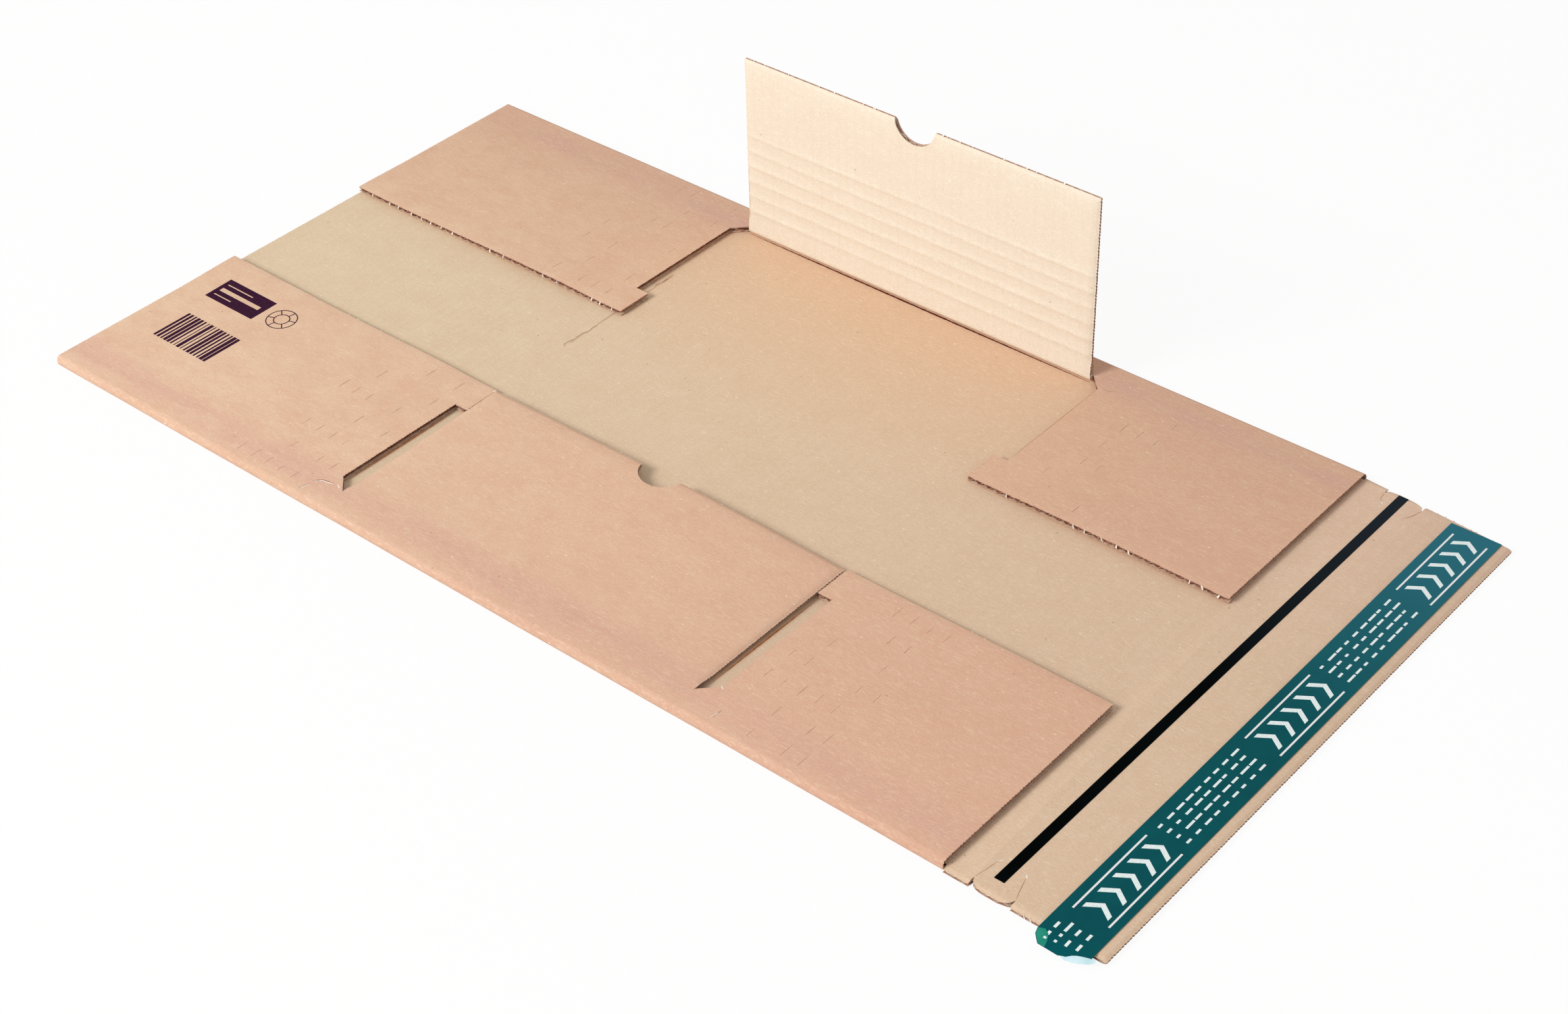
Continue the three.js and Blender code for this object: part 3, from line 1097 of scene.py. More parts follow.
@dataclass
class Wing:
    """A wing's base with the two panels that are folded over and glued down on it."""

    board: Board
    end: End

    @property
    def reach(self) -> float:
        """Where the double panels end, along X without its sign."""
        return -SHEET.left_end if self.end is End.LEFT else SHEET.double_end

    def outline(self) -> list[Point]:
        """Outline of the wing on the unfolded sheet.

        Returns:
            The outline.
        """
        e = self.end.value
        blunt, tab, free = SHEET.over(SHEET.slit_blunt), SHEET.over(SHEET.tab_end), SHEET.over(SHEET.free_edge)
        far: list[Point] = [(SHEET.bend_end, slit_slant(1)(SHEET.bend_end))]
        far += toothed(SHEET.slit_side, blunt, tab, -1)
        far += toothed(SHEET.wing_hinge, tab, free, -1)
        if self.end is End.LEFT:
            far += toothed(self.reach, free, 0, 1)[:-1]
        else:
            fold_end = SHEET.flat + SHEET.arc * 0.6
            far += toothed(self.reach, free, fold_end, 1)
            far.append((self.reach, fold_end))
        near = [(x, -s) for x, s in reversed(far) if s > 1e-6]
        return [(e * x, s) for x, s in far + near]

    def fluting(self) -> FlutedPaper:
        """The fluted paper of the base, the two panels and their tabs.

        Returns:
            The paper, not yet waved.
        """
        e = self.end.value
        blind = SHEET.half_width - SHEET.crushed
        inset = 0.5
        paper = FlutedPaper()

        def lay(x0: float, x1: float, low: Any, high: Any, rows: int = 1) -> None:
            """Lays a strip between two places along X that are given without their sign."""
            a, b = sorted((e * x0, e * x1))
            paper.lay(a, b, low, high, rows)

        lay(SHEET.bend_end, self.reach - inset, -blind, blind)
        for side in (-1, 1):
            back, free = side * SHEET.over(blind), side * SHEET.over(SHEET.free_edge + 0.15)
            glued = side * (SHEET.over(SHEET.free_edge) - SHEET.loose_depth)
            pinch = side * (SHEET.over(SHEET.free_edge) - SHEET.pinch_reach)
            lay(SHEET.bend_end, SHEET.slit_side, back, slit_slant(side))
            for low, high, rows in ((back, glued, 1), (glued, pinch, 5), (pinch, free, 2)):
                lay(SHEET.slit_side + inset, self.reach - inset, low, high, rows)
            lay(SHEET.wing_hinge + inset, SHEET.slit_side + inset, side * SHEET.over(SHEET.tab_end - 0.15), free)
        return paper

    def build(self) -> None:
        """Makes the wing's plies."""
        name = f"{self.end.label}_wing"
        body = self.end.body
        low, high = sorted((self.end.value * SHEET.bend_end, self.end.value * self.reach))
        free = SHEET.over(SHEET.free_edge)
        rows = fold_cuts() + [side * (free - d) for side in (-1, 1) for d in (0.7, 1.4, 2.4, 8, 14, 22, 32, 45)]
        pieces = self.board.liners(name, [self.outline()], SHEET.fold, (fold_columns(low, high), rows))
        pieces.append(self.board.core(name, self.fluting(), SHEET.fold))
        finish_board(pieces, body, node=name)


@dataclass
class ClosureEnd:
    """The single layer beyond the double panels, with a pull tab between two notches in both edges."""

    board: Board
    notches: tuple[float, float] = (294.7, 317.3)
    shoulder: float = 8.0
    notch_depth: float = 5.0

    def tab_edge(self, x: float) -> float:
        """How far the pull tab's rounded shoulders stay behind the edge.

        Args:
            x: Place along X.

        Returns:
            The distance.
        """
        near = min(x - self.notches[0], self.notches[1] - x)
        if near >= self.shoulder:
            return 0.0
        share = 1 - near / self.shoulder
        return self.notch_depth * (1 - math.sqrt(max(0.0, 1 - share * share)))

    def setback(self, x: float) -> float:
        """How far the cut edge stays behind the straight edge at a place along X."""
        inside = self.notches[0] < x < self.notches[1]
        return self.tab_edge(x) if inside else 0.0

    def outline(self) -> list[Point]:
        """Outline of the closure end, round from its near corner at the double panels.

        Returns:
            The outline.
        """
        first, last = self.notches
        tab = [first + 0.02, *steps(first, first + self.shoulder, 8), first + self.shoulder,
               last - self.shoulder, *steps(last - self.shoulder, last, 8), last - 0.02]
        row = [SHEET.double_end, first, *tab, last, SHEET.closure_end - SHEET.tooth_depth]
        near = [(x, -SHEET.half_width + self.setback(x)) for x in row]
        far = [(x, SHEET.far_edge(x) - self.setback(x)) for x in reversed(row)]
        cut_end = toothed(SHEET.closure_end, -SHEET.half_width, SHEET.far_edge(SHEET.closure_end), 1)
        start, corner = SHEET.double_end, SHEET.flat - 1
        tuck = [(start, corner), (start - SHEET.tuck, corner), (start - SHEET.tuck, -corner), (start, -corner)]
        return near + cut_end[1:-1] + far + tuck

    @staticmethod
    def place(x: float, across: float, depth: float) -> Place:
        """Puts a point of the single layer in place, a hair higher where it overlaps the base's paper.

        Args:
            x: Place along the sheet.
            across: Place across it.
            depth: Distance below the outer face.

        Returns:
            The point in the frame.
        """
        if depth > SHEET.board / 2:
            depth += SHEET.tuck_drop * (1 - smooth(x, SHEET.double_end, SHEET.double_end + SHEET.tuck))
        edge = SHEET.half_width if across < 0 else SHEET.far_edge(x)
        depth = pinched(depth, max(0.0, edge - abs(across)), 0.45)
        depth = pinched(depth, max(0.0, SHEET.closure_end - x), 0.7)
        return x, across, depth

    def build(self) -> None:
        """Makes the closure end's plies."""
        columns = [SHEET.double_end, SHEET.double_end + SHEET.tuck]
        columns += [SHEET.closure_end - d for d in (0.8, 1.4, 2.4)]
        rows = [-SHEET.half_width + d for d in (0.7, 1.4, 2.4)]
        rows += steps(SHEET.half_width - SHEET.closure_taper - SHEET.pinch_reach, SHEET.half_width, 11)
        pieces = self.board.liners(
            "closure_end", [self.outline()], self.place, (columns, rows), self.board.finishes.crushed)
        inset = 0.15
        paper = FlutedPaper().lay(
            SHEET.double_end, SHEET.closure_end - 0.5,
            lambda x: -SHEET.half_width + self.setback(x) + inset,
            lambda x: SHEET.far_edge(x) - self.setback(x) - inset)
        pieces.append(self.board.core("closure_end", paper, self.place, True))
        finish_board(pieces, "right_side")


@dataclass
class Flap:
    """A loose flap with a thumb notch in its free edge, and the bent strip at its crease."""

    board: Board
    side: Side
    thumb_width: float = 28.0
    thumb_depth: float = 12.0
    notch_steps: int = 20
    score_count: int = 6
    score_first: float = 13.7
    score_pitch: float = 10.0
    score_height: float = 0.5
    score_spread: float = 1.7
    score_sink: float = 0.22

    @property
    def name(self) -> str:
        """The flap's name, which is its CAD node's too."""
        return f"{self.side.name.lower()}_flap"

    @property
    def scores(self) -> list[float]:
        """Distances of the score lines from the crease."""
        return [self.score_first + i * self.score_pitch for i in range(self.score_count)]

    def ridge(self, x: float, t: float) -> float:
        """How far the scores swell the inner face, softly and a little unevenly along their length.

        Args:
            x: Place along X.
            t: Distance from the flap's crease.

        Returns:
            The height of the swell.
        """
        swell = 0.0
        for i, score in enumerate(self.scores):
            uneven = 0.8 + 0.12 * math.sin(x / 23.0 + 2.1 * i) + 0.12 * math.cos(2 * math.pi * x / SHEET.flute_pitch)
            swell += uneven * math.exp(-((t - score) / self.score_spread) ** 2)
        return self.score_height * swell

    def place(self, x: float, t: float, depth: float) -> Place:
        """Puts a point of the flap in place, at a distance t from the crease.

        Args:
            x: Place along X.
            t: Distance from the crease.
            depth: Distance below the outer face.

        Returns:
            The point in the frame.
        """
        if depth > SHEET.board / 2:
            depth += self.ridge(x, t) - self.score_sink * smooth(t, 1, 8)
        inward = min(SHEET.flap_depth - t, SHEET.flap_side - abs(x))
        amount = 0.6 * smooth(t, SHEET.flap_bend, SHEET.flap_bend + 8)
        depth = pinched(depth, inward, amount)
        if self.side is Side.NEAR:
            return x, -SHEET.flap_crease + t, SHEET.top - depth + flap_lift(x, t)
        return x, SHEET.flap_crease - depth, SHEET.top + t

    def bend(self, x: float, t: float, depth: float) -> Place:
        """Puts a point of the bent strip in place, where t runs over the length of the bend.

        Args:
            x: Place along X.
            t: Distance along the bend.
            depth: Distance below the outer face.

        Returns:
            The point in the frame.
        """
        if self.side is Side.NEAR:
            px, py, pz = self.place(x, t, depth)
            tucked = t < -0.01 or t > SHEET.flap_bend + 0.01
            return px, py, pz - (SHEET.tuck_drop if tucked and depth < SHEET.board / 2 else 0.0)
        turn = min(1.0, t / SHEET.flap_bend) * math.pi / 2
        past = max(0.0, t - SHEET.flap_bend)
        if past > 0:
            depth = min(SHEET.board - 0.06, max(0.1, depth))
        return x, SHEET.flap_crease - depth * math.sin(turn), SHEET.top - depth * math.cos(turn) + past

    def notch(self, x: float) -> float:
        """How deep the thumb notch is at a place along X.

        Args:
            x: Place along X.

        Returns:
            The depth of the notch, 0 beside it.
        """
        half = self.thumb_width / 2
        if abs(x) >= half:
            return 0.0
        radius = (half ** 2 + self.thumb_depth ** 2) / (2 * self.thumb_depth)
        return math.sqrt(radius ** 2 - x ** 2) - (radius - self.thumb_depth)

    def outline(self, start: float) -> list[Point]:
        """Outline of the flap from a distance behind its crease.

        Args:
            start: Distance from the crease.

        Returns:
            The outline, in x and distance from the crease.
        """
        side, depth, half = SHEET.flap_side, SHEET.flap_depth, self.thumb_width / 2
        points = toothed(side, start, depth, 1)
        row = [half, *reversed(steps(-half, half, self.notch_steps)), -half]
        points += [(x, depth - self.notch(x)) for x in row]
        points += [(-x, t) for x, t in reversed(toothed(side, start, depth, 1))]
        return points

    def build(self) -> None:
        """Makes the flap's plies and the bent strip."""
        near = self.side is Side.NEAR
        start = SHEET.flap_bend if near else SHEET.crease_gap
        columns = fold_columns(-SHEET.flap_side + 3, SHEET.flap_side - 3)
        columns += [e * (SHEET.flap_side - d) for e in (-1, 1) for d in (0.8, 1.4, 2.4)]
        rows = [SHEET.flap_depth - d for d in (0.5, 1.0, 1.7, 2.4)]
        rows += [score + d for score in self.scores for d in (-2.6, -1.7, -1.0, -0.5, 0, 0.5, 1.0, 1.7, 2.6)]
        rows += steps(start, SHEET.flap_depth, 12)
        inside = self.board.finishes.inside if near else self.board.finishes.upright
        pieces = self.board.liners(self.name, [self.outline(start)], self.place, (columns, rows), inside)
        paper = FlutedPaper().lay(
            -SHEET.flap_side + 0.5, SHEET.flap_side - 0.5, start,
            lambda x: SHEET.flap_depth - self.notch(x) - 0.15, 12 if near else 1)
        pieces.append(self.board.core(self.name, paper, self.place, not near))
        slot = "kraft_board" if near else "kraft_board_inside"
        finish_board(pieces, f"{self.name}_body", slot, self.name)
        self.build_bend(slot)

    def build_bend(self, slot: str) -> None:
        """Makes the strip that bends at the crease.

        Args:
            slot: Material slot of the flap.
        """
        near = self.side is Side.NEAR
        side = SHEET.flap_side
        length = SHEET.flap_bend
        rows = steps(0, length, 8)
        if near:
            outline = block(-side, -SHEET.tuck, side, length + SHEET.tuck)
            rows = [0, *rows, length]
            pieces = self.board.liners(f"{self.name}_crease", [outline], self.bend, ([], rows))
        else:
            outline = block(-side, 0, side, length + SHEET.tuck)
            solid = ply(
                f"{self.name}_crease", [outline], (0.05, SHEET.board), self.bend,
                ([], [*rows, length, length + 0.01]), self.board.finishes.upright)
            pieces = [soften(solid)]
        for piece in pieces:
            f"{self.name}_body"
            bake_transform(piece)
            declared(piece, slot)


@dataclass
class ClosureTapes:
    """Tear tape and release liner, laid across the closure end."""

    finishes: Finishes
    tear: tuple[float, float] = (301.75, 307.25)
    tear_start: float = -169.5
    tear_thickness: float = 0.2
    liner: tuple[float, float] = (333.75, 361.95)
    liner_floor: float = 3.55
    liner_thickness: float = 0.2
    edge: float = 1.0
    torn_end: tuple[Point, ...] = (
        (333.75, -181.6), (334.6, -184.4), (336.4, -186.3), (338.3, -188.0), (348.8, -188.2), (350.6, -187.4),
        (352.1, -187.0), (354.0, -185.2), (355.9, -184.0), (359.0, -182.8), (361.95, -181.9))
    # Painted light: the corner of the liner that light comes through from behind, over the floor.
    lit_corner: tuple[Point, ...] = (
        (334.0, -181.4), (334.0, -182.0), (334.8, -184.2), (336.6, -186.1), (338.4, -187.8), (341.8, -187.95),
        (341.2, -185.0), (339.6, -181.8), (336.9, -180.2))
    clear_tip: tuple[Point, ...] = (
        (349.6, -187.7), (352.0, -186.6), (354.1, -184.6), (356.0, -183.4), (361.0, -181.6), (363.6, -181.3),
        (364.4, -182.6), (362.4, -184.8), (357.6, -187.2), (352.4, -188.6))

    def curl(self, x: float, across: float, depth: float) -> Place:
        """Puts a point of the release liner in place, where its loose end drops past the edge of the board.

        Args:
            x: Place along X.
            across: Place across the sheet.
            depth: Height in the film.

        Returns:
            The point in the frame.
        """
        past = max(0.0, -SHEET.half_width - across)
        ripple = 0.06 + 0.05 * math.sin(across / 21.0 + x / 40.0)
        return x, across, self.liner_floor + ripple + depth - 0.018 * past * past

    def build(self) -> None:
        """Makes both tapes."""
        x0, x1 = self.tear
        end = SHEET.far_edge(x1) - self.edge
        outline = [(x0, self.tear_start), (x1, self.tear_start), (x1, end), (x0, end)]
        tape = ply(
            "tear_tape_strip", [outline], (SHEET.board, SHEET.board + self.tear_thickness), flat_place,
            ([], []), [self.finishes.tape])
        finished(tape, "right_side", "tear_tape", "tear_tape")
        x0, x1 = self.liner
        end = SHEET.far_edge(x1) - self.edge
        outline = [*self.torn_end, (x1, end), (x0, end)]
        cuts = (steps(x0, x1, 3), [-186.5, -184.5, -182.5, -180.5, *steps(-179, end, 60)])
        liner = ply(
            "release_liner_strip", [outline], (0, self.liner_thickness), self.curl, cuts, [self.finishes.liner])
        finished(soften(liner), "right_side", "release_liner", "release_liner")
        high = self.liner_thickness + 0.04
        for name, outline, depths, material in (
            ("release_liner_lit_corner", self.lit_corner, (0.1, high), self.finishes.liner_lit),
            ("adhesive_backing_tip", self.clear_tip, (-0.16, -0.06), self.finishes.backing),
        ):
            piece = ply(name, [outline], depths, self.curl, ([], cuts[1][:4]), [material])
            finished(soften(piece), "right_side", "release_liner")


def flat_place(x: float, across: float, depth: float) -> Place:
    """Puts a point of a film that lies flat on the closure end in place."""
    return x, across, depth


def panel_top(x: float, y: float) -> float:
    """Height of the outer face of the folded-over layer at a place."""
    return SHEET.top + (panel_lift(x, y) if abs(y) > SHEET.free_edge else 0.0)


def bed_top(x: float, _y: float) -> float:
    """Height of the inner face of the base, which has a bead along each wing crease."""
    return SHEET.board + (bead(x) if SHEET.wing_hinge < abs(x) < SHEET.bend_end else 0.0)


@dataclass(frozen=True)
class Stroke:
    """A fine line on the paper, such as a cut, a crack or the pale lip of a tear."""

    points: tuple[Point, ...]
    width: float
    wobble: float = 0.0
    seed: int = 1


def strokes(
    name: str,
    lines: Iterable[Stroke],
    surface: Callable[[float, float], float],
    material: Material,
    rise: float = 0.04,
) -> Object:
    """Makes fine lines that lie on a surface and run out thin at both ends.

    Args:
        name: Name of the piece.
        lines: The lines, drawn in X and Y.
        surface: Height of the surface at a place.
        material: Material of the lines.
        rise: How far they stand above the surface.

    Returns:
        The object, with its mesh in metres.
    """
    vertices: list[Place] = []
    faces: list[list[int]] = []
    for line in lines:
        draw = random.Random(line.seed)
        path = []
        for (x0, y0), (x1, y1) in zip(line.points, line.points[1:]):
            count = max(2, round(math.hypot(x1 - x0, y1 - y0) / 1.2))
            path += [(x0 + (x1 - x0) * i / count, y0 + (y1 - y0) * i / count) for i in range(count)]
        path.append(line.points[-1])
        first = len(vertices)
        for i, (x, y) in enumerate(path):
            ax, ay = path[max(0, i - 1)]
            bx, by = path[min(len(path) - 1, i + 1)]
            length = math.hypot(bx - ax, by - ay) or 1.0
            nx, ny = -(by - ay) / length, (bx - ax) / length
            drift = draw.uniform(-line.wobble, line.wobble)
            taper = math.sin(math.pi * (i + 0.35) / (len(path) - 0.3)) ** 0.6
            half = line.width / 2 * max(0.12, taper) * draw.uniform(0.75, 1.15)
            for sign in (-1, 1):
                px, py = x + nx * (drift + sign * half), y + ny * (drift + sign * half)
                high = surface(px, py)
                vertices.append((px, py, high - 0.15))
                vertices.append((px, py, high + rise))
        for i in range(len(path) - 1):
            a = first + 4 * i
            b = a + 4
            faces += [[a, b, b + 1, a + 1], [a + 3, b + 3, b + 2, a + 2], [a + 1, b + 1, b + 3, a + 3],
                      [a + 2, b + 2, b, a]]
        last = first + 4 * (len(path) - 1)
        faces += [[first, first + 1, first + 3, first + 2], [last + 2, last + 3, last + 1, last]]
    mesh = new_mesh(name, [[c * MM for c in v] for v in vertices], faces)
    mesh.materials.append(material)
    return outward(new_object(name, mesh))


def perforation_tree() -> Any:
    """Tree that repeats one short cut over a grid, each a little different, and leaves some out.

    Returns:
        The tree.
    """
    tree, given = new_tree("perforation_cuts", {
        "Columns": "NodeSocketInt",
        "Rows": "NodeSocketInt",
        "Column Pitch": "NodeSocketFloat",
        "Row Pitch": "NodeSocketFloat",
        "Left Out": "NodeSocketFloat",
        "Seed": "NodeSocketInt",
        "Paper": "NodeSocketMaterial",
    })
    sizes = []
    for count, pitch in (("Columns", "Column Pitch"), ("Rows", "Row Pitch")):
        less = add_node(tree, "ShaderNodeMath", {0: given[count], 1: 1.0}, operation="SUBTRACT")
        sizes.append(add_node(
            tree, "ShaderNodeMath", {0: less.outputs[0], 1: given[pitch]}, operation="MULTIPLY"))
    grid = add_node(tree, "GeometryNodeMeshGrid", {
        "Size X": sizes[0].outputs[0], "Size Y": sizes[1].outputs[0],
        "Vertices X": given["Columns"], "Vertices Y": given["Rows"]})
    drift, size, turn = (
        add_node(tree, "FunctionNodeRandomValue", {
            0: low, 1: high, "Seed": given["Seed"]}, data_type="FLOAT_VECTOR")
        for low, high in (
            ((-0.35, -0.5, 0.0), (0.35, 0.5, 0.0)),
            ((0.35, 0.7, 1.0), (1.15, 1.08, 1.0)),
            ((0.0, 0.0, -0.03), (0.0, 0.0, 0.03))))
    moved = add_node(tree, "GeometryNodeSetPosition", {"Geometry": grid.outputs[0], "Offset": drift.outputs[0]})
    chance = add_node(tree, "FunctionNodeRandomValue", {"Seed": given["Seed"]}, data_type="FLOAT")
    faint = add_node(tree, "ShaderNodeMath", {
        0: chance.outputs[1], 1: given["Left Out"]}, operation="GREATER_THAN")
    spread = add_node(tree, "GeometryNodeInstanceOnPoints", {
        "Points": moved.outputs[0], "Selection": faint.outputs[0], "Instance": given[0],
        "Rotation": turn.outputs[0], "Scale": size.outputs[0]})
    end_tree(tree, spread.outputs[0], given["Paper"])
    return tree


def tuft_tree() -> Any:
    """Tree that sets torn tufts along a cut edge, at uneven places and sizes.

    Returns:
        The tree.
    """
    tree, given = new_tree("torn_tufts", {
        "Count": "NodeSocketInt",
        "Pitch": "NodeSocketFloat",
        "Left Out": "NodeSocketFloat",
        "Seed": "NodeSocketInt",
        "Paper": "NodeSocketMaterial",
    })
    step = add_node(tree, "ShaderNodeCombineXYZ", {0: given["Pitch"]})
    row = add_node(tree, "GeometryNodeMeshLine", {
        "Count": given["Count"], "Offset": step.outputs[0]})
    reach = add_node(tree, "ShaderNodeMath", {0: given["Pitch"], 1: 0.42}, operation="MULTIPLY")
    chance = add_node(tree, "FunctionNodeRandomValue", {2: -1.0, 3: 1.0, "Seed": given["Seed"]})
    along = add_node(tree, "ShaderNodeMath", {0: chance.outputs[1], 1: reach.outputs[0]}, operation="MULTIPLY")
    shift = add_node(tree, "ShaderNodeCombineXYZ", {0: along.outputs[0]})
    moved = add_node(tree, "GeometryNodeSetPosition", {"Geometry": row.outputs[0], "Offset": shift.outputs[0]})
    kept = add_node(tree, "ShaderNodeMath", {
        0: chance.outputs[1], 1: given["Left Out"]}, operation="GREATER_THAN")
    size, turn = (
        add_node(tree, "FunctionNodeRandomValue", {
            0: low, 1: high, "Seed": given["Seed"]}, data_type="FLOAT_VECTOR")
        for low, high in (((0.45, 0.6, 0.75), (1.25, 1.2, 1.05)), ((0.0, -0.5, -0.4), (0.0, 0.5, 0.4))))
    spread = add_node(tree, "GeometryNodeInstanceOnPoints", {
        "Points": moved.outputs[0], "Selection": kept.outputs[0], "Instance": given[0],
        "Rotation": turn.outputs[0], "Scale": size.outputs[0]})
    end_tree(tree, spread.outputs[0], given["Paper"])
    return tree


def prism(name: str, outline: Sequence[Point], low: float, high: float) -> Mesh:
    """A closed plate with this outline.

    Args:
        name: Name of the mesh.
        outline: Its outline in X and Y.
        low: Height of its underside.
        high: Height of its upper face.

    Returns:
        The mesh.
    """
    count = len(outline)
    vertices = [(x, y, z) for z in (low, high) for x, y in outline]
    faces = [list(range(count))[::-1], list(range(count, 2 * count))]
    faces += [[i, (i + 1) % count, (i + 1) % count + count, i + count] for i in range(count)]
    return new_mesh(name, vertices, faces)


def sliver(length: float, width: float, height: float = 0.08) -> Mesh:
    """A lens-shaped sliver along Y that runs out thin at both ends, centred on the origin.

    Args:
        length: Its length.
        width: Its greatest width.
        height: How deep it reaches down.

    Returns:
        The mesh.
    """
    outline = []
    for sign in (1, -1):
        for i in range(7):
            share = i / 7
            y = length / 2 * math.cos(math.pi * share) * sign
            outline.append((sign * width / 2 * math.sin(math.pi * share) ** 0.7, y))
    return prism("sliver", outline, -height, height / 2)


def tuft(height: float) -> Mesh:
    """A curl of torn paper, upright along Z, centred on the origin and bent towards -Y.

    Args:
        height: Its height.

    Returns:
        The mesh.
    """
    rows = 6
    vertices = []
    for i in range(rows + 1):
        share = i / rows
        z = height * (share - 0.5)
        out = -0.75 * math.sin(math.pi * share) ** 1.5 - 0.1
        half = 0.42 * (0.55 + 0.45 * math.sin(math.pi * share))
        lean = 0.35 * math.sin(2.6 * share)
        vertices += [(lean - half, out, z), (lean + half, out, z),
                     (lean + half, out + 0.3, z), (lean - half, out + 0.3, z)]
    faces = [[3, 2, 1, 0], [4 * rows + i for i in range(4)]]
    for i in range(rows):
        for k in range(4):
            a, b = 4 * i + k, 4 * i + (k + 1) % 4
            faces.append([a, b, b + 4, a + 4])
    return new_mesh("tuft", vertices, faces)


def settle(piece: Object, place: Placer) -> Object:
    """Puts the points of a mesh that was made in millimetres in place, in metres."""
    for vertex in piece.data.vertices:
        vertex.co = Vector(place(*vertex.co)) * MM
    return outward(piece)


def joined(name: str, pieces: Sequence[Object]) -> Object:
    """Joins objects at the origin into one.

    Args:
        name: Name of the whole.
        pieces: The objects, which are removed.

    Returns:
        The whole.
    """
    whole = bmesh.new()
    for piece in pieces:
        whole.from_mesh(piece.data)
    mesh = bpy.data.meshes.new(name)
    whole.to_mesh(mesh)
    whole.free()
    for material in pieces[0].data.materials:
        mesh.materials.append(material)
    for piece in pieces:
        bpy.data.objects.remove(piece)
    return new_object(name, mesh)


@dataclass
class PerforationCuts:
    """Short cuts in the double panels, which let a filled pack's sides bend where they need to."""

    finishes: Finishes
    columns: int = 6
    rows: int = 7
    first: float = 141.2
    column_pitch: float = 10.3
    fold_distance: float = 10.6
    row_pitch: float = 18.1
    length: float = 8.6
    width: float = 0.42
    painted_lip_highlight: float = 0.34

    def build(self) -> None:
        """Cuts all four panels, with a brown cut and a painted highlight on the lip beside it."""
        tree = perforation_tree()
        shares = {(-1, -1): 0.45, (-1, 1): 0.62, (1, -1): 0.3, (1, 1): 0.85}
        for end in End:
            cuts, lip_highlights = [], []
            for side in Side:
                left_out = shares[(end.value, side.value)]
                seed = 11 + 3 * end.value + side.value
                cuts.append(self.panel(tree, end, side, self.width, 0.0, left_out, seed, self.finishes.slit))
                lip_highlights.append(self.panel(tree, end, side, self.painted_lip_highlight, 0.3, left_out, seed, self.finishes.painted_lip_highlight))
            body = end.body
            for label, group in (("perforations", cuts), ("perforation_lip_highlights", lip_highlights)):
                finished(joined(f"{end.label}_{label}", group), body, "kraft_board")

    def panel(
        self, tree: Any, end: End, side: Side, width: float, shift: float, left_out: float, seed: int,
        material: Material,
    ) -> Object:
        """Makes one panel's cuts, or the painted highlights on their lips when shifted along X.

        Args:
            tree: Tree that repeats the cut.
            end: End of the sheet.
            side: Side of the sheet.
            width: Width of a cut.
            shift: Shift along X, 0 for the cuts themselves.
            left_out: Share that is left out.
            seed: Seed of the random sizes.
            material: Material of the cuts.

        Returns:
            The cuts in place.
        """
        piece = grow(new_object("cuts", sliver(self.length, width)), tree, {
            "Columns": self.columns, "Rows": self.rows, "Column Pitch": self.column_pitch,
            "Row Pitch": self.row_pitch, "Left Out": left_out, "Seed": seed, "Paper": material})
        middle = self.first + (self.columns - 1) * self.column_pitch / 2
        depth = self.fold_distance + (self.rows - 1) * self.row_pitch / 2
        cx, cy = end.value * middle + shift, side.value * (SHEET.half_width - depth)

        def place(x: float, y: float, z: float) -> Place:
            """Moves a point of the cuts onto its panel."""
            return cx + x, cy + y, panel_top(cx + x, cy + y) + z - (0.0 if shift == 0 else 0.01)
        return settle(piece, place)


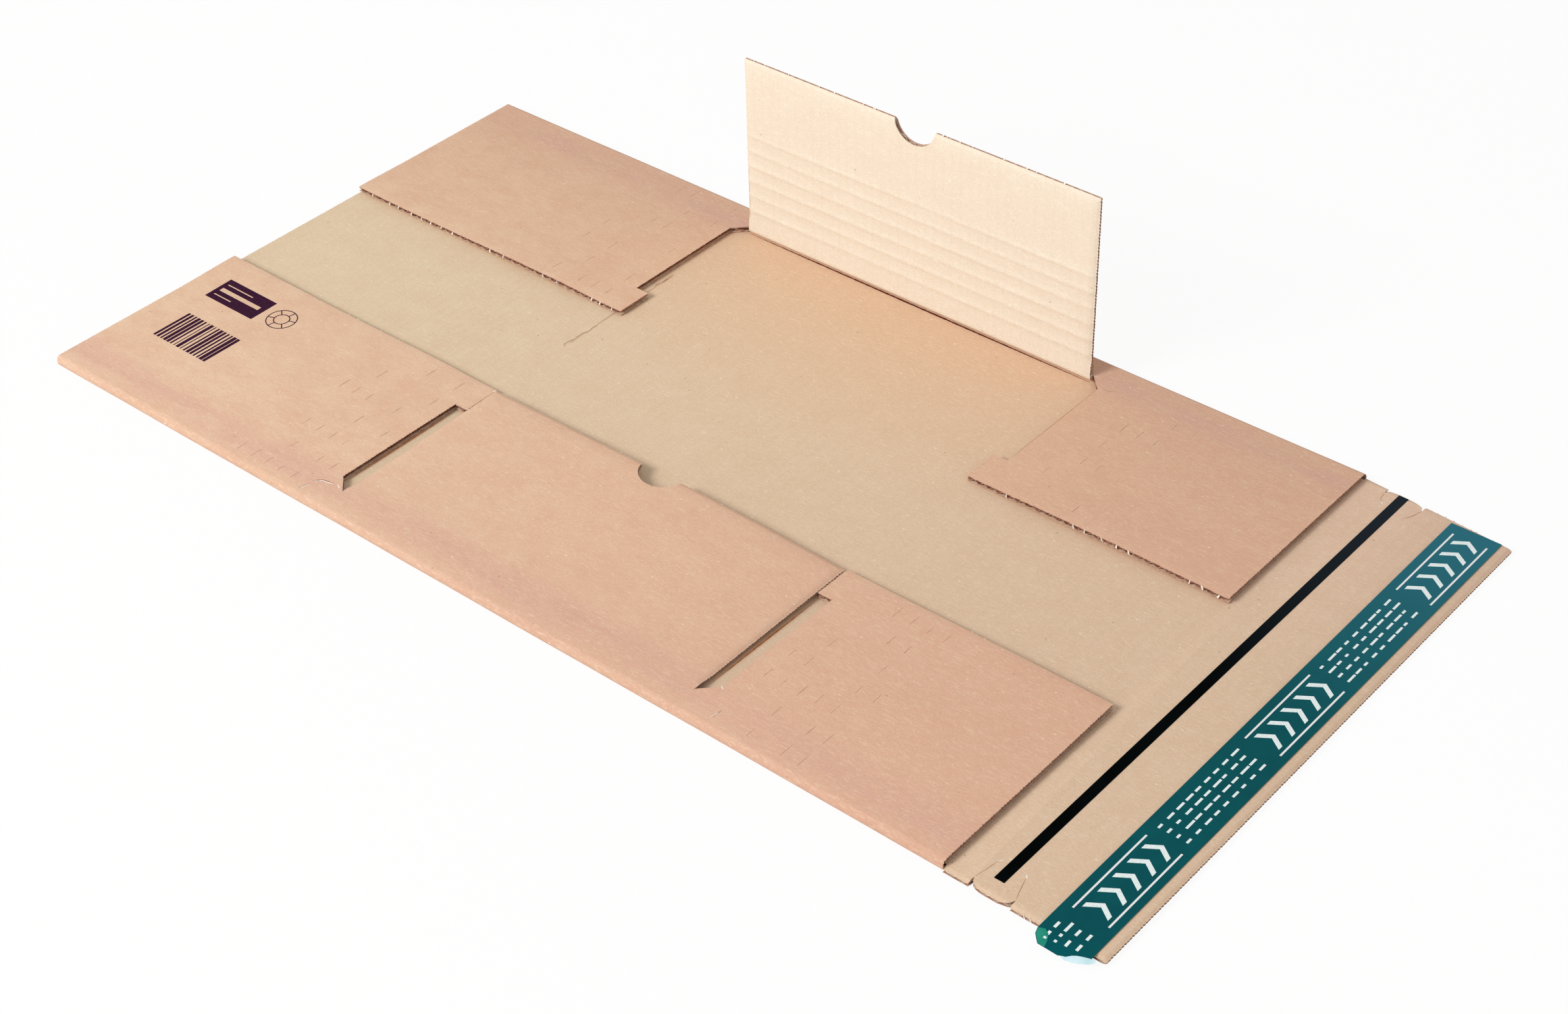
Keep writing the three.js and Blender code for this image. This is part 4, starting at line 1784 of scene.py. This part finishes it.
@dataclass
class TornEdges:
    """Tufts of torn paper where the cutting rule had gaps, along the cut edges that cross the flutes."""

    finishes: Finishes
    flaps: Sequence[Flap]
    pitch: float = 8.6

    def build(self) -> None:
        """Sets tufts along the free edges of the panels, the flaps and the closure end."""
        tree = tuft_tree()
        middle = SHEET.top - SHEET.board / 2
        for end in End:
            reach = -SHEET.left_end if end is End.LEFT else SHEET.double_end
            span = reach - SHEET.wing_hinge - 10
            edges = []
            for side in Side:
                def place(x: float, y: float, z: float, e: int = end.value, s: int = side.value) -> Place:
                    """Puts a tuft on the free edge of a double panel."""
                    px = e * (SHEET.wing_hinge + 5 + x)
                    return px, s * (SHEET.free_edge + y), middle + z + panel_lift(px, SHEET.free_edge + 0.2)
                edges.append(self.edge(tree, span, 21 + end.value + 5 * side.value, place, 0.0))
            whole = joined(f"{end.label}_panel_tufts", edges)
            finished(whole, end.body, "kraft_board")
        self.flap_edges(tree)
        self.closure(tree)

    def flap_edges(self, tree: Any) -> None:
        """Sets tufts along the free edges of the two flaps.

        Args:
            tree: Tree that repeats the tuft.
        """
        for flap in self.flaps:
            def place(x: float, y: float, z: float, hung: Flap = flap) -> Place:
                """Puts a tuft on the free edge of a flap, beside its thumb notch."""
                px = x - SHEET.flap_side + 6
                if abs(px) < hung.thumb_width / 2 + 1.5:
                    px += math.copysign(hung.thumb_width / 2 + 2, px)
                return hung.place(px, SHEET.flap_depth - y - 0.15, SHEET.board / 2 + z * 0.97)
            piece = self.edge(tree, 2 * SHEET.flap_side - 28, 40 + flap.side.value, place, -0.6, 11.0)
            piece.name = f"{flap.name}_tufts"
            finished(piece, f"{flap.name}_body", "kraft_board")

    def closure(self, tree: Any) -> None:
        """Sets tufts along the near and far edges of the closure end, outside the pull tab.

        Args:
            tree: Tree that repeats the tuft.
        """
        edges = []
        for side in Side:
            def place(x: float, y: float, z: float, s: int = side.value) -> Place:
                """Puts a tuft on a long edge of the closure end."""
                px = 319.5 + x
                edge = SHEET.half_width if s < 0 else SHEET.far_edge(px)
                return px, s * (edge - 0.1 - y), SHEET.board / 2 + z
            edges.append(self.edge(tree, 44, 60 + side.value, place, -0.3, 4.5))
        finished(joined("closure_tufts", edges), "right_side", "kraft_board")

    def edge(
        self, tree: Any, span: float, seed: int, place: Placer, left_out: float, pitch: float = 0.0,
    ) -> Object:
        """Makes one row of tufts along X and puts it in place.

        Args:
            tree: Tree that repeats the tuft.
            span: Length of the row.
            seed: Seed of the random sizes.
            place: Puts a point of the row in place.
            left_out: Random value from -1 to 1 below which one is left out.
            pitch: Distance between tufts, or 0 for the usual one.

        Returns:
            The row.
        """
        pitch = pitch or self.pitch
        piece = grow(new_object("tufts", tuft(SHEET.board - 0.1)), tree, {
            "Count": int(span / pitch) + 1, "Pitch": pitch, "Left Out": left_out, "Seed": seed,
            "Paper": self.finishes.tuft})
        return soften(settle(piece, place), 50)


@dataclass
class WearLines:
    """Cracks, folds and short cuts that handling and the cutting rule have left in the paper, with painted shadow at
    the far flap's foot, painted bounce light at the slits' feet and painted highlights on crack lips.
    """

    finishes: Finishes

    def build(self) -> None:
        """Makes the fine lines of each body."""
        dark, pale = self.finishes.cut, self.finishes.tuft
        crack = (
            (-129.8, -160.6), (-133.0, -161.6), (-136.5, -162.0), (-139.0, -164.4), (-140.8, -166.2))
        tear = ((-139.8, -168.6), (-140.9, -171.5), (-141.3, -175.0))
        self.lines("left_wing_crack", "left_side", [
            Stroke(crack, 0.5, 0.15, 3), Stroke(tear, 0.4, 0.12, 4)], panel_top, dark)
        self.lines("left_wing_crack_lip", "left_side", [
            Stroke(tuple((x + 0.1, y - 0.5) for x, y in crack), 0.7, 0.2, 5),
            Stroke(tuple((x + 0.5, y) for x, y in tear), 0.5, 0.15, 6),
            Stroke(((-127.9, -160.2), (-124.6, -161.5)), 0.7, 0.2, 7)], panel_top, pale)
        self.lines("right_wing_nicks", "right_side", [
            Stroke(((130.2, -153.0), (132.6, -154.4)), 0.5, 0.1, 8),
            Stroke(((141.5, -167.0), (140.4, -172.5)), 0.35, 0.1, 9)], panel_top, pale)
        self.lines("right_wing_fold_line", "right_side", [
            Stroke(((194.2, 50.5), (194.6, 90.0), (194.1, 140.0), (194.4, 172.0)), 0.5, 0.06, 10)],
            panel_top, self.finishes.outer)
        # Painted shadow: a dark line on the bed along the far flap's foot, under its overhang.
        self.lines("far_flap_foot_painted_shadow", "centre", [
            Stroke(((-121.0, 160.0), (0.0, 159.9), (121.0, 160.0)), 1.3, 0.05, 21)], bed_top, self.finishes.gap)
        # Painted bounce light: an orange glow on the bed at the foot of each near slit's wall.
        for body, x in (("left_side", -130.15), ("centre", 122.35)):
            self.lines(f"{body}_slit_foot", body, [
                Stroke(((x, -151.5), (x, -112.0), (x, -74.0)), 0.9, 0.05, 26)], bed_top, self.finishes.glow)
        for end, width in ((End.LEFT, 0.34), (End.RIGHT, 0.22)):
            e = end.value
            self.lines(f"{end.label}_near_flap_side_cut", end.body, [
                Stroke(((e * 122.1, -50.0), (e * 122.3, -60.0), (e * 122.1, -71.5)), width, 0.1, 22 + e)],
                panel_top, self.finishes.slit)
        self.lines("left_near_flap_side_nicks", "left_side", [
            Stroke(((-122.2, -49.6), (-122.9, -51.2)), 0.7, 0.1, 24),
            Stroke(((-122.0, -61.5), (-122.6, -63.0)), 0.5, 0.1, 25)], panel_top, pale)
        self.lines("right_wing_inner_edge", "right_side", [
            Stroke(((130.9, 76.0), (131.0, 110.0), (130.9, 151.0)), 0.26, 0.04, 30),
            Stroke(((133.0, 154.6), (137.0, 155.4), (140.6, 157.6)), 0.24, 0.06, 31)],
            panel_top, self.finishes.slit)
        self.pull_tab(self.finishes.slit, pale)
        self.bed(self.finishes.slit, self.finishes.painted_lip_highlight)

    def lines(
        self, name: str, body: str, lines: Sequence[Stroke], surface: Callable[[float, float], float],
        material: Material,
    ) -> None:
        """Makes one piece of fine lines."""
        finished(strokes(name, lines, surface, material), body, "kraft_board")

    def pull_tab(self, dark: Material, pale: Material) -> None:
        """Curved cuts that run in from the four notches beside the pull tab.

        Args:
            dark: Material of the cuts.
            pale: Material of their torn tips.
        """
        cuts = [
            Stroke(((294.9, -174.2), (296.2, -167.0), (297.6, -158.8)), 0.3, 0.05, 11),
            Stroke(((317.0, -174.2), (314.4, -166.5), (312.6, -160.4)), 0.35, 0.05, 12),
            Stroke(((294.9, 173.0), (295.6, 168.4), (297.4, 165.6)), 0.35, 0.05, 13),
            Stroke(((317.0, 171.2), (315.4, 165.0), (312.9, 160.6)), 0.35, 0.05, 14)]
        tips = [
            Stroke(((296.9, -160.5), (298.8, -158.4)), 0.7, 0.1, 15),
            Stroke(((313.2, -161.0), (311.8, -159.4)), 0.7, 0.1, 16),
            Stroke(((296.2, 166.8), (298.6, 164.8)), 0.6, 0.1, 17)]
        self.lines("pull_tab_cuts", "right_side", cuts, lambda x, y: SHEET.board, dark)
        self.lines("pull_tab_cut_tips", "right_side", tips, lambda x, y: SHEET.board, pale)

    def bed(self, dark: Material, pale: Material) -> None:
        """Crack along the bead of the left wing crease, where it was folded before, with a painted highlight on its
        lip.

        Args:
            dark: Material of the crack.
            pale: Material of the painted highlight on its lip.
        """
        crack = [
            Stroke(((-126.4, 7.0), (-128.2, 9.5), (-126.6, 16.0), (-127.3, 23.0)), 0.16, 0.25, 18),
            Stroke(((-127.3, 23.0), (-125.6, 25.5), (-126.6, 31.0), (-126.0, 34.0)), 0.12, 0.15, 19),
            Stroke(((-126.6, 34.0), (-126.9, 58.0), (-126.5, 82.0)), 0.1, 0.05, 27),
            Stroke(((-126.5, 82.0), (-128.0, 84.5), (-126.7, 91.0), (-127.6, 99.0)), 0.28, 0.3, 28)]
        painted_lip_highlight = [
            Stroke(((-126.0, 12.0), (-126.9, 20.0), (-126.4, 27.0)), 0.2, 0.2, 20),
            Stroke(((-126.3, 84.0), (-127.2, 90.0), (-126.6, 98.0)), 0.3, 0.3, 29)]
        for name, lines, material in (("left_crease_crack", crack, dark), ("left_crease_crack_lip_highlight", painted_lip_highlight, pale)):
            piece = strokes(name, lines, bed_top, material)
            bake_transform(piece)
            declared(piece, "kraft_board")


def print_tree() -> Any:
    """Tree that repeats one printed mark along a line, with a random size between two limits.

    Returns:
        The tree.
    """
    tree, given = new_tree("printed_row", {
        "Count": "NodeSocketInt",
        "Step": "NodeSocketVector",
        "Smallest": "NodeSocketVector",
        "Largest": "NodeSocketVector",
        "Seed": "NodeSocketInt",
        "Ink": "NodeSocketMaterial",
    })
    row = add_node(tree, "GeometryNodeMeshLine", {"Count": given["Count"], "Offset": given["Step"]})
    size = add_node(tree, "FunctionNodeRandomValue", {
        0: given["Smallest"], 1: given["Largest"], "Seed": given["Seed"]},
        data_type="FLOAT_VECTOR")
    spread = add_node(tree, "GeometryNodeInstanceOnPoints", {
        "Points": row.outputs[0], "Instance": given[0], "Scale": size.outputs[0]})
    end_tree(tree, spread.outputs[0], given["Ink"])
    return tree


def mark(outline: Sequence[Point], low: float = -0.2, high: float = 0.09) -> Mesh:
    """A thin printed mark with this outline."""
    return prism("mark", outline, low, high)


@dataclass
class PanelPrint:
    """Plain printed marks on the near left panel: a dark field, a round mark and a row of bars."""

    finishes: Finishes
    tree: Any
    field_box: tuple[float, float, float, float] = (-319.6, -86.6, -280.2, -67.0)
    ring_centre: Point = (-266.2, -76.0)
    ring_radii: tuple[float, float] = (4.6, 8.9)
    ring_line: float = 0.55
    ring_corners: int = 36
    spoke_count: int = 6
    bars_box: tuple[float, float, float, float] = (-311.5, -130.5, -269.7, -104.2)
    bar_count: int = 16

    def on_panel(self, x: float, y: float, z: float) -> Place:
        """Puts a point of the print on the panel."""
        return x, y, panel_top(x, y) + z

    def build(self) -> None:
        """Prints the marks."""
        x0, y0, x1, y1 = self.field_box
        field_mark = settle(new_object("printed_field", mark(block(x0, y0, x1, y1))), self.on_panel)
        dark = [field_mark, *self.rings(), self.spokes(), self.bars()]
        for piece in dark:
            piece.data.materials.clear()
            piece.data.materials.append(self.finishes.ink)
        finished(joined("printed_marks", dark), "left_side", "kraft_board")
        inner = [
            block(x0 + 3.0, y0 + 4.0, x0 + 17.0, y0 + 4.7), block(x0 + 3.0, y0 + 8.2, x0 + 35.5, y0 + 11.2),
            block(x0 + 3.0, y0 + 14.6, x0 + 24.0, y0 + 15.3)]
        pale = [settle(new_object("pale", mark(o, 0.0, 0.16)), self.on_panel) for o in inner]
        for piece in pale:
            piece.data.materials.append(self.finishes.bare)
        finished(joined("printed_field_lines", pale), "left_side", "kraft_board")

    def rings(self) -> list[Object]:
        """Two thin rings, one inside the other.

        Returns:
            The rings in place.
        """
        pieces = []
        for radius in self.ring_radii:
            loops = [(radius - self.ring_line / 2, -0.2), (radius + self.ring_line / 2, -0.2),
                     (radius + self.ring_line / 2, 0.09), (radius - self.ring_line / 2, 0.09)]
            corners = self.ring_corners
            turns = [2 * math.pi * i / corners for i in range(corners)]
            vertices = [(self.ring_centre[0] + r * math.cos(a), self.ring_centre[1] + r * math.sin(a), z)
                        for a in turns for r, z in loops]
            faces = []
            for i in range(corners):
                a, b = 4 * i, 4 * ((i + 1) % corners)
                faces += [[a + k, b + k, b + (k + 1) % 4, a + (k + 1) % 4] for k in range(4)]
            pieces.append(settle(new_object("ring", new_mesh("ring", vertices, faces)), self.on_panel))
        return pieces

    def spokes(self) -> Object:
        """Short spokes between the two rings.

        Returns:
            The spokes in place, as one object.
        """
        cx, cy = self.ring_centre
        low, high = self.ring_radii
        pieces = []
        for i in range(self.spoke_count):
            turn = 2 * math.pi * (i + 0.3) / self.spoke_count
            across = (-math.sin(turn) * self.ring_line / 2, math.cos(turn) * self.ring_line / 2)
            ends = [(cx + r * math.cos(turn), cy + r * math.sin(turn)) for r in (low, high)]
            outline = [(ends[k][0] + e * across[0], ends[k][1] + e * across[1])
                       for k, e in ((0, -1), (1, -1), (1, 1), (0, 1))]
            pieces.append(settle(new_object("spoke", mark(outline)), self.on_panel))
        return joined("spokes", pieces)

    def bars(self) -> Object:
        """A row of bars of uneven width.

        Returns:
            The bars in place.
        """
        x0, y0, x1, y1 = self.bars_box
        step = (x1 - x0) / (self.bar_count - 1)
        piece = grow(new_object("bars", mark(block(-0.5, y0, 0.5, y1))), self.tree, {
            "Count": self.bar_count, "Step": (step, 0, 0), "Smallest": (0.5, 1, 1), "Largest": (2.5, 1, 1),
            "Seed": 11, "Ink": self.finishes.ink})
        return settle(piece, lambda x, y, z: self.on_panel(x + x0, y, z))


@dataclass
class LinerPrint:
    """White marks that repeat along the release liner: a run of chevrons and four rows of dashes."""

    finishes: Finishes
    tree: Any
    tapes: ClosureTapes
    group_starts: tuple[float, ...] = (-163.0, -27.0, 109.0)
    group_length: float = 56.0
    group_pitch: float = 136.0
    rails: tuple[float, float] = (338.9, 357.6)
    rail_width: float = 1.0
    chevrons: int = 5
    chevron_places: tuple[float, float, float] = (341.6, 348.3, 355.0)
    dash_rows: tuple[float, ...] = (338.4, 343.2, 348.2, 353.4)
    dash_pitch: float = 7.4

    def on_liner(self, x: float, y: float, z: float) -> Place:
        """Puts a point of the print on the liner."""
        return self.tapes.curl(x, y, self.tapes.liner_thickness + z)

    def build(self) -> None:
        """Prints the marks."""
        pieces = []
        pitch = self.group_length / self.chevrons
        for number, start in enumerate(self.group_starts):
            pieces.append(self.row(self.chevron(), self.chevrons, (0, pitch, 0), (0, start + 3), (1, 1), 1))
            for rail in self.rails:
                bar = block(rail - self.rail_width / 2, 0, rail + self.rail_width / 2, self.group_length)
                pieces.append(self.row(bar, 1, (0, 1, 0), (0, start), (1, 1), 1))
            free = (start + self.group_length + 7, start + self.group_pitch - 6)
            for k, x in enumerate(self.dash_rows):
                stop = min(free[1], SHEET.far_edge(x) - 4)
                count = int((stop - free[0]) / self.dash_pitch)
                if count > 0:
                    pieces.append(self.row(
                        block(-0.62, 0, 0.62, 1), count, (0, self.dash_pitch, 0), (x + 2.0, free[0]),
                        (2.2, 6.6), 13 * number + k))
        for k, x in enumerate(self.dash_rows):
            pieces.append(self.row(
                block(-0.7, 0, 0.7, 1), 2, (0, self.dash_pitch, 0), (x + 1.0, -184.6 + 0.8 * k), (3.0, 6.2), 90 + k))
        finished(joined("release_liner_print", pieces), "right_side", "release_liner")

    def chevron(self) -> list[Point]:
        """Outline of a chevron that points along Y."""
        left, middle, right = self.chevron_places
        return [(left, 0), (middle, 4.6), (right, 0), (right, 3.0), (middle, 7.6), (left, 3.0)]

    def row(
        self, outline: Sequence[Point], count: int, step: Place, start: Point, sizes: tuple[float, float], seed: int,
    ) -> Object:
        """Prints a row of one mark along Y.

        Args:
            outline: Outline of the mark.
            count: How many there are.
            step: From one to the next.
            start: Where the first one is.
            sizes: Least and greatest length of a mark.
            seed: Seed of the random lengths.

        Returns:
            The row in place.
        """
        piece = grow(new_object("row", mark(outline)), self.tree, {
            "Count": count, "Step": step, "Smallest": (1, sizes[0], 1), "Largest": (1, sizes[1], 1), "Seed": seed,
            "Ink": self.finishes.white_ink})
        return settle(piece, lambda x, y, z: self.on_liner(x + start[0], y + start[1], z))


@dataclass
class Studio:
    """Camera of the photograph, soft lights and a pale floor."""

    eye: Place = (777.4, -847.1, 855.2)
    lens: float = 62.02
    sensor: float = 36.0
    rows: tuple[Place, Place, Place] = (
        (0.764446, 0.644332, -0.021407),
        (0.384465, -0.482287, -0.787138),
        (-0.517502, 0.593494, -0.616406),
    )
    key_place: Place = (-800, -2300, 1800)
    key_size: float = 1000.0
    key_power: float = 66.0
    ambient: float = 0.55
    floor_reach: float = 6000.0
    floor_drop: float = 0.4
    floor_white: float = 0.92

    def build(self) -> None:
        """Sets up the camera, the lamps, the world and the floor."""
        scene = bpy.context.scene
        scene.view_settings.view_transform = "Standard"
        self.camera(scene)
        self.lamp("key", self.key_place, self.key_size, self.key_power)
        self.world(scene)
        self.floor()

    def camera(self, scene: bpy.types.Scene) -> None:
        """Puts the camera where the photograph was taken from.

        Args:
            scene: The scene.
        """
        data = bpy.data.cameras.new("camera")
        data.sensor_fit = "HORIZONTAL"
        data.sensor_width = self.sensor
        data.lens = self.lens
        data.clip_end = 50
        camera = bpy.data.objects.new("camera", data)
        right, down, ahead = (Vector(row) for row in self.rows)
        turn = Matrix((right, -down, -ahead)).transposed()
        camera.matrix_world = Matrix.Translation(Vector(self.eye) * MM) @ turn.to_4x4()
        scene.collection.objects.link(camera)
        scene.camera = camera

    def lamp(self, name: str, place: Place, size: float, power: float) -> None:
        """Adds a square area lamp that points at the mailer.

        Args:
            name: Its name.
            place: Where it stands.
            size: Length of its side.
            power: Its power in watts.
        """
        data = bpy.data.lights.new(name, "AREA")
        data.size = size * MM
        data.energy = power
        lamp = bpy.data.objects.new(name, data)
        at = Vector(place) * MM
        lamp.location = at
        lamp.rotation_euler = (-at).to_track_quat("-Z", "Y").to_euler()
        bpy.context.scene.collection.objects.link(lamp)

    def world(self, scene: bpy.types.Scene) -> None:
        """Even light from all round, behind which the camera, metal and glass see white.

        Args:
            scene: The scene.
        """
        world = bpy.data.worlds.new("studio")
        world.use_nodes = True
        scene.world = world
        tree = world.node_tree
        tree.nodes.clear()
        seen = self.seen(tree)
        strength = add_node(tree, "ShaderNodeMapRange", {0: seen, 3: self.ambient, 4: 1.0})
        light = add_node(tree, "ShaderNodeBackground", {
            "Color": (1, 1, 1, 1), "Strength": strength.outputs[0]})
        add_node(tree, "ShaderNodeOutputWorld", {0: light.outputs[0]})

    def seen(self, tree: Any) -> Any:
        """1 for a ray from the camera, a reflection or a view through glass, and 0 for light.

        Args:
            tree: Tree that the nodes go into.

        Returns:
            The socket with the value.
        """
        path = add_node(tree, "ShaderNodeLightPath")
        first = add_node(tree, "ShaderNodeMath", {
            0: path.outputs["Is Camera Ray"], 1: path.outputs["Is Glossy Ray"]}, operation="MAXIMUM")
        return add_node(tree, "ShaderNodeMath", {
            0: first.outputs[0], 1: path.outputs["Is Transmission Ray"]}, operation="MAXIMUM").outputs[0]

    def floor(self) -> None:
        """A white floor that shows a little of the shadow."""
        reach, low = self.floor_reach * MM, -self.floor_drop * MM
        corners = [(x, y, low) for x, y in block(-reach, -reach, reach, reach)]
        mesh = new_mesh("floor", corners, [(0, 1, 2, 3)])
        floor = new_object("floor", mesh)
        paint = bpy.data.materials.new("floor_white")
        paint.use_nodes = True
        tree = paint.node_tree
        tree.nodes.clear()
        shade = add_node(tree, "ShaderNodeBsdfDiffuse", {"Color": hex_colour("#F4F3F1")})
        white = add_node(tree, "ShaderNodeEmission", {"Color": (1, 1, 1, 1), "Strength": 1.0})
        share = add_node(tree, "ShaderNodeMapRange", {0: self.seen(tree), 4: self.floor_white})
        mixed = add_node(tree, "ShaderNodeMixShader", {0: share.outputs[0], 1: shade.outputs[0], 2: white.outputs[0]})
        add_node(tree, "ShaderNodeOutputMaterial", {0: mixed.outputs[0]})
        mesh.materials.append(paint)


def dress_cad_nodes(finishes: Finishes) -> None:
    """Gives the CAD nodes that stay their materials.

    Args:
        finishes: The materials.
    """
    for name in (
        "glue_line_near_left", "glue_line_far_left", "glue_line_near_right", "glue_line_far_right",
        "closure_adhesive",
    ):
        node = bpy.data.objects[name]
        node.data.materials.clear()
        node.data.materials.append(finishes.adhesive if name == "closure_adhesive" else finishes.glue)
        log.info("dressed %s", name)


def main() -> None:
    """Builds the mailer and the studio round it."""
    logging.basicConfig(level=logging.INFO, format="%(name)s: %(message)s")
    finishes = Finishes()
    board = Board(finishes, flute_tree())
    CentrePanel(board).build()
    for end in End:
        WingCrease(board, end).build()
        Wing(board, end).build()
    flaps = [Flap(board, side) for side in Side]
    for flap in flaps:
        flap.build()
    ClosureEnd(board).build()
    tapes = ClosureTapes(finishes)
    tapes.build()
    printed_row = print_tree()
    PanelPrint(finishes, printed_row).build()
    LinerPrint(finishes, printed_row, tapes).build()
    PerforationCuts(finishes).build()
    TornEdges(finishes, flaps).build()
    WearLines(finishes).build()
    dress_cad_nodes(finishes)
    Studio().build()


if __name__ == "__main__":
    main()
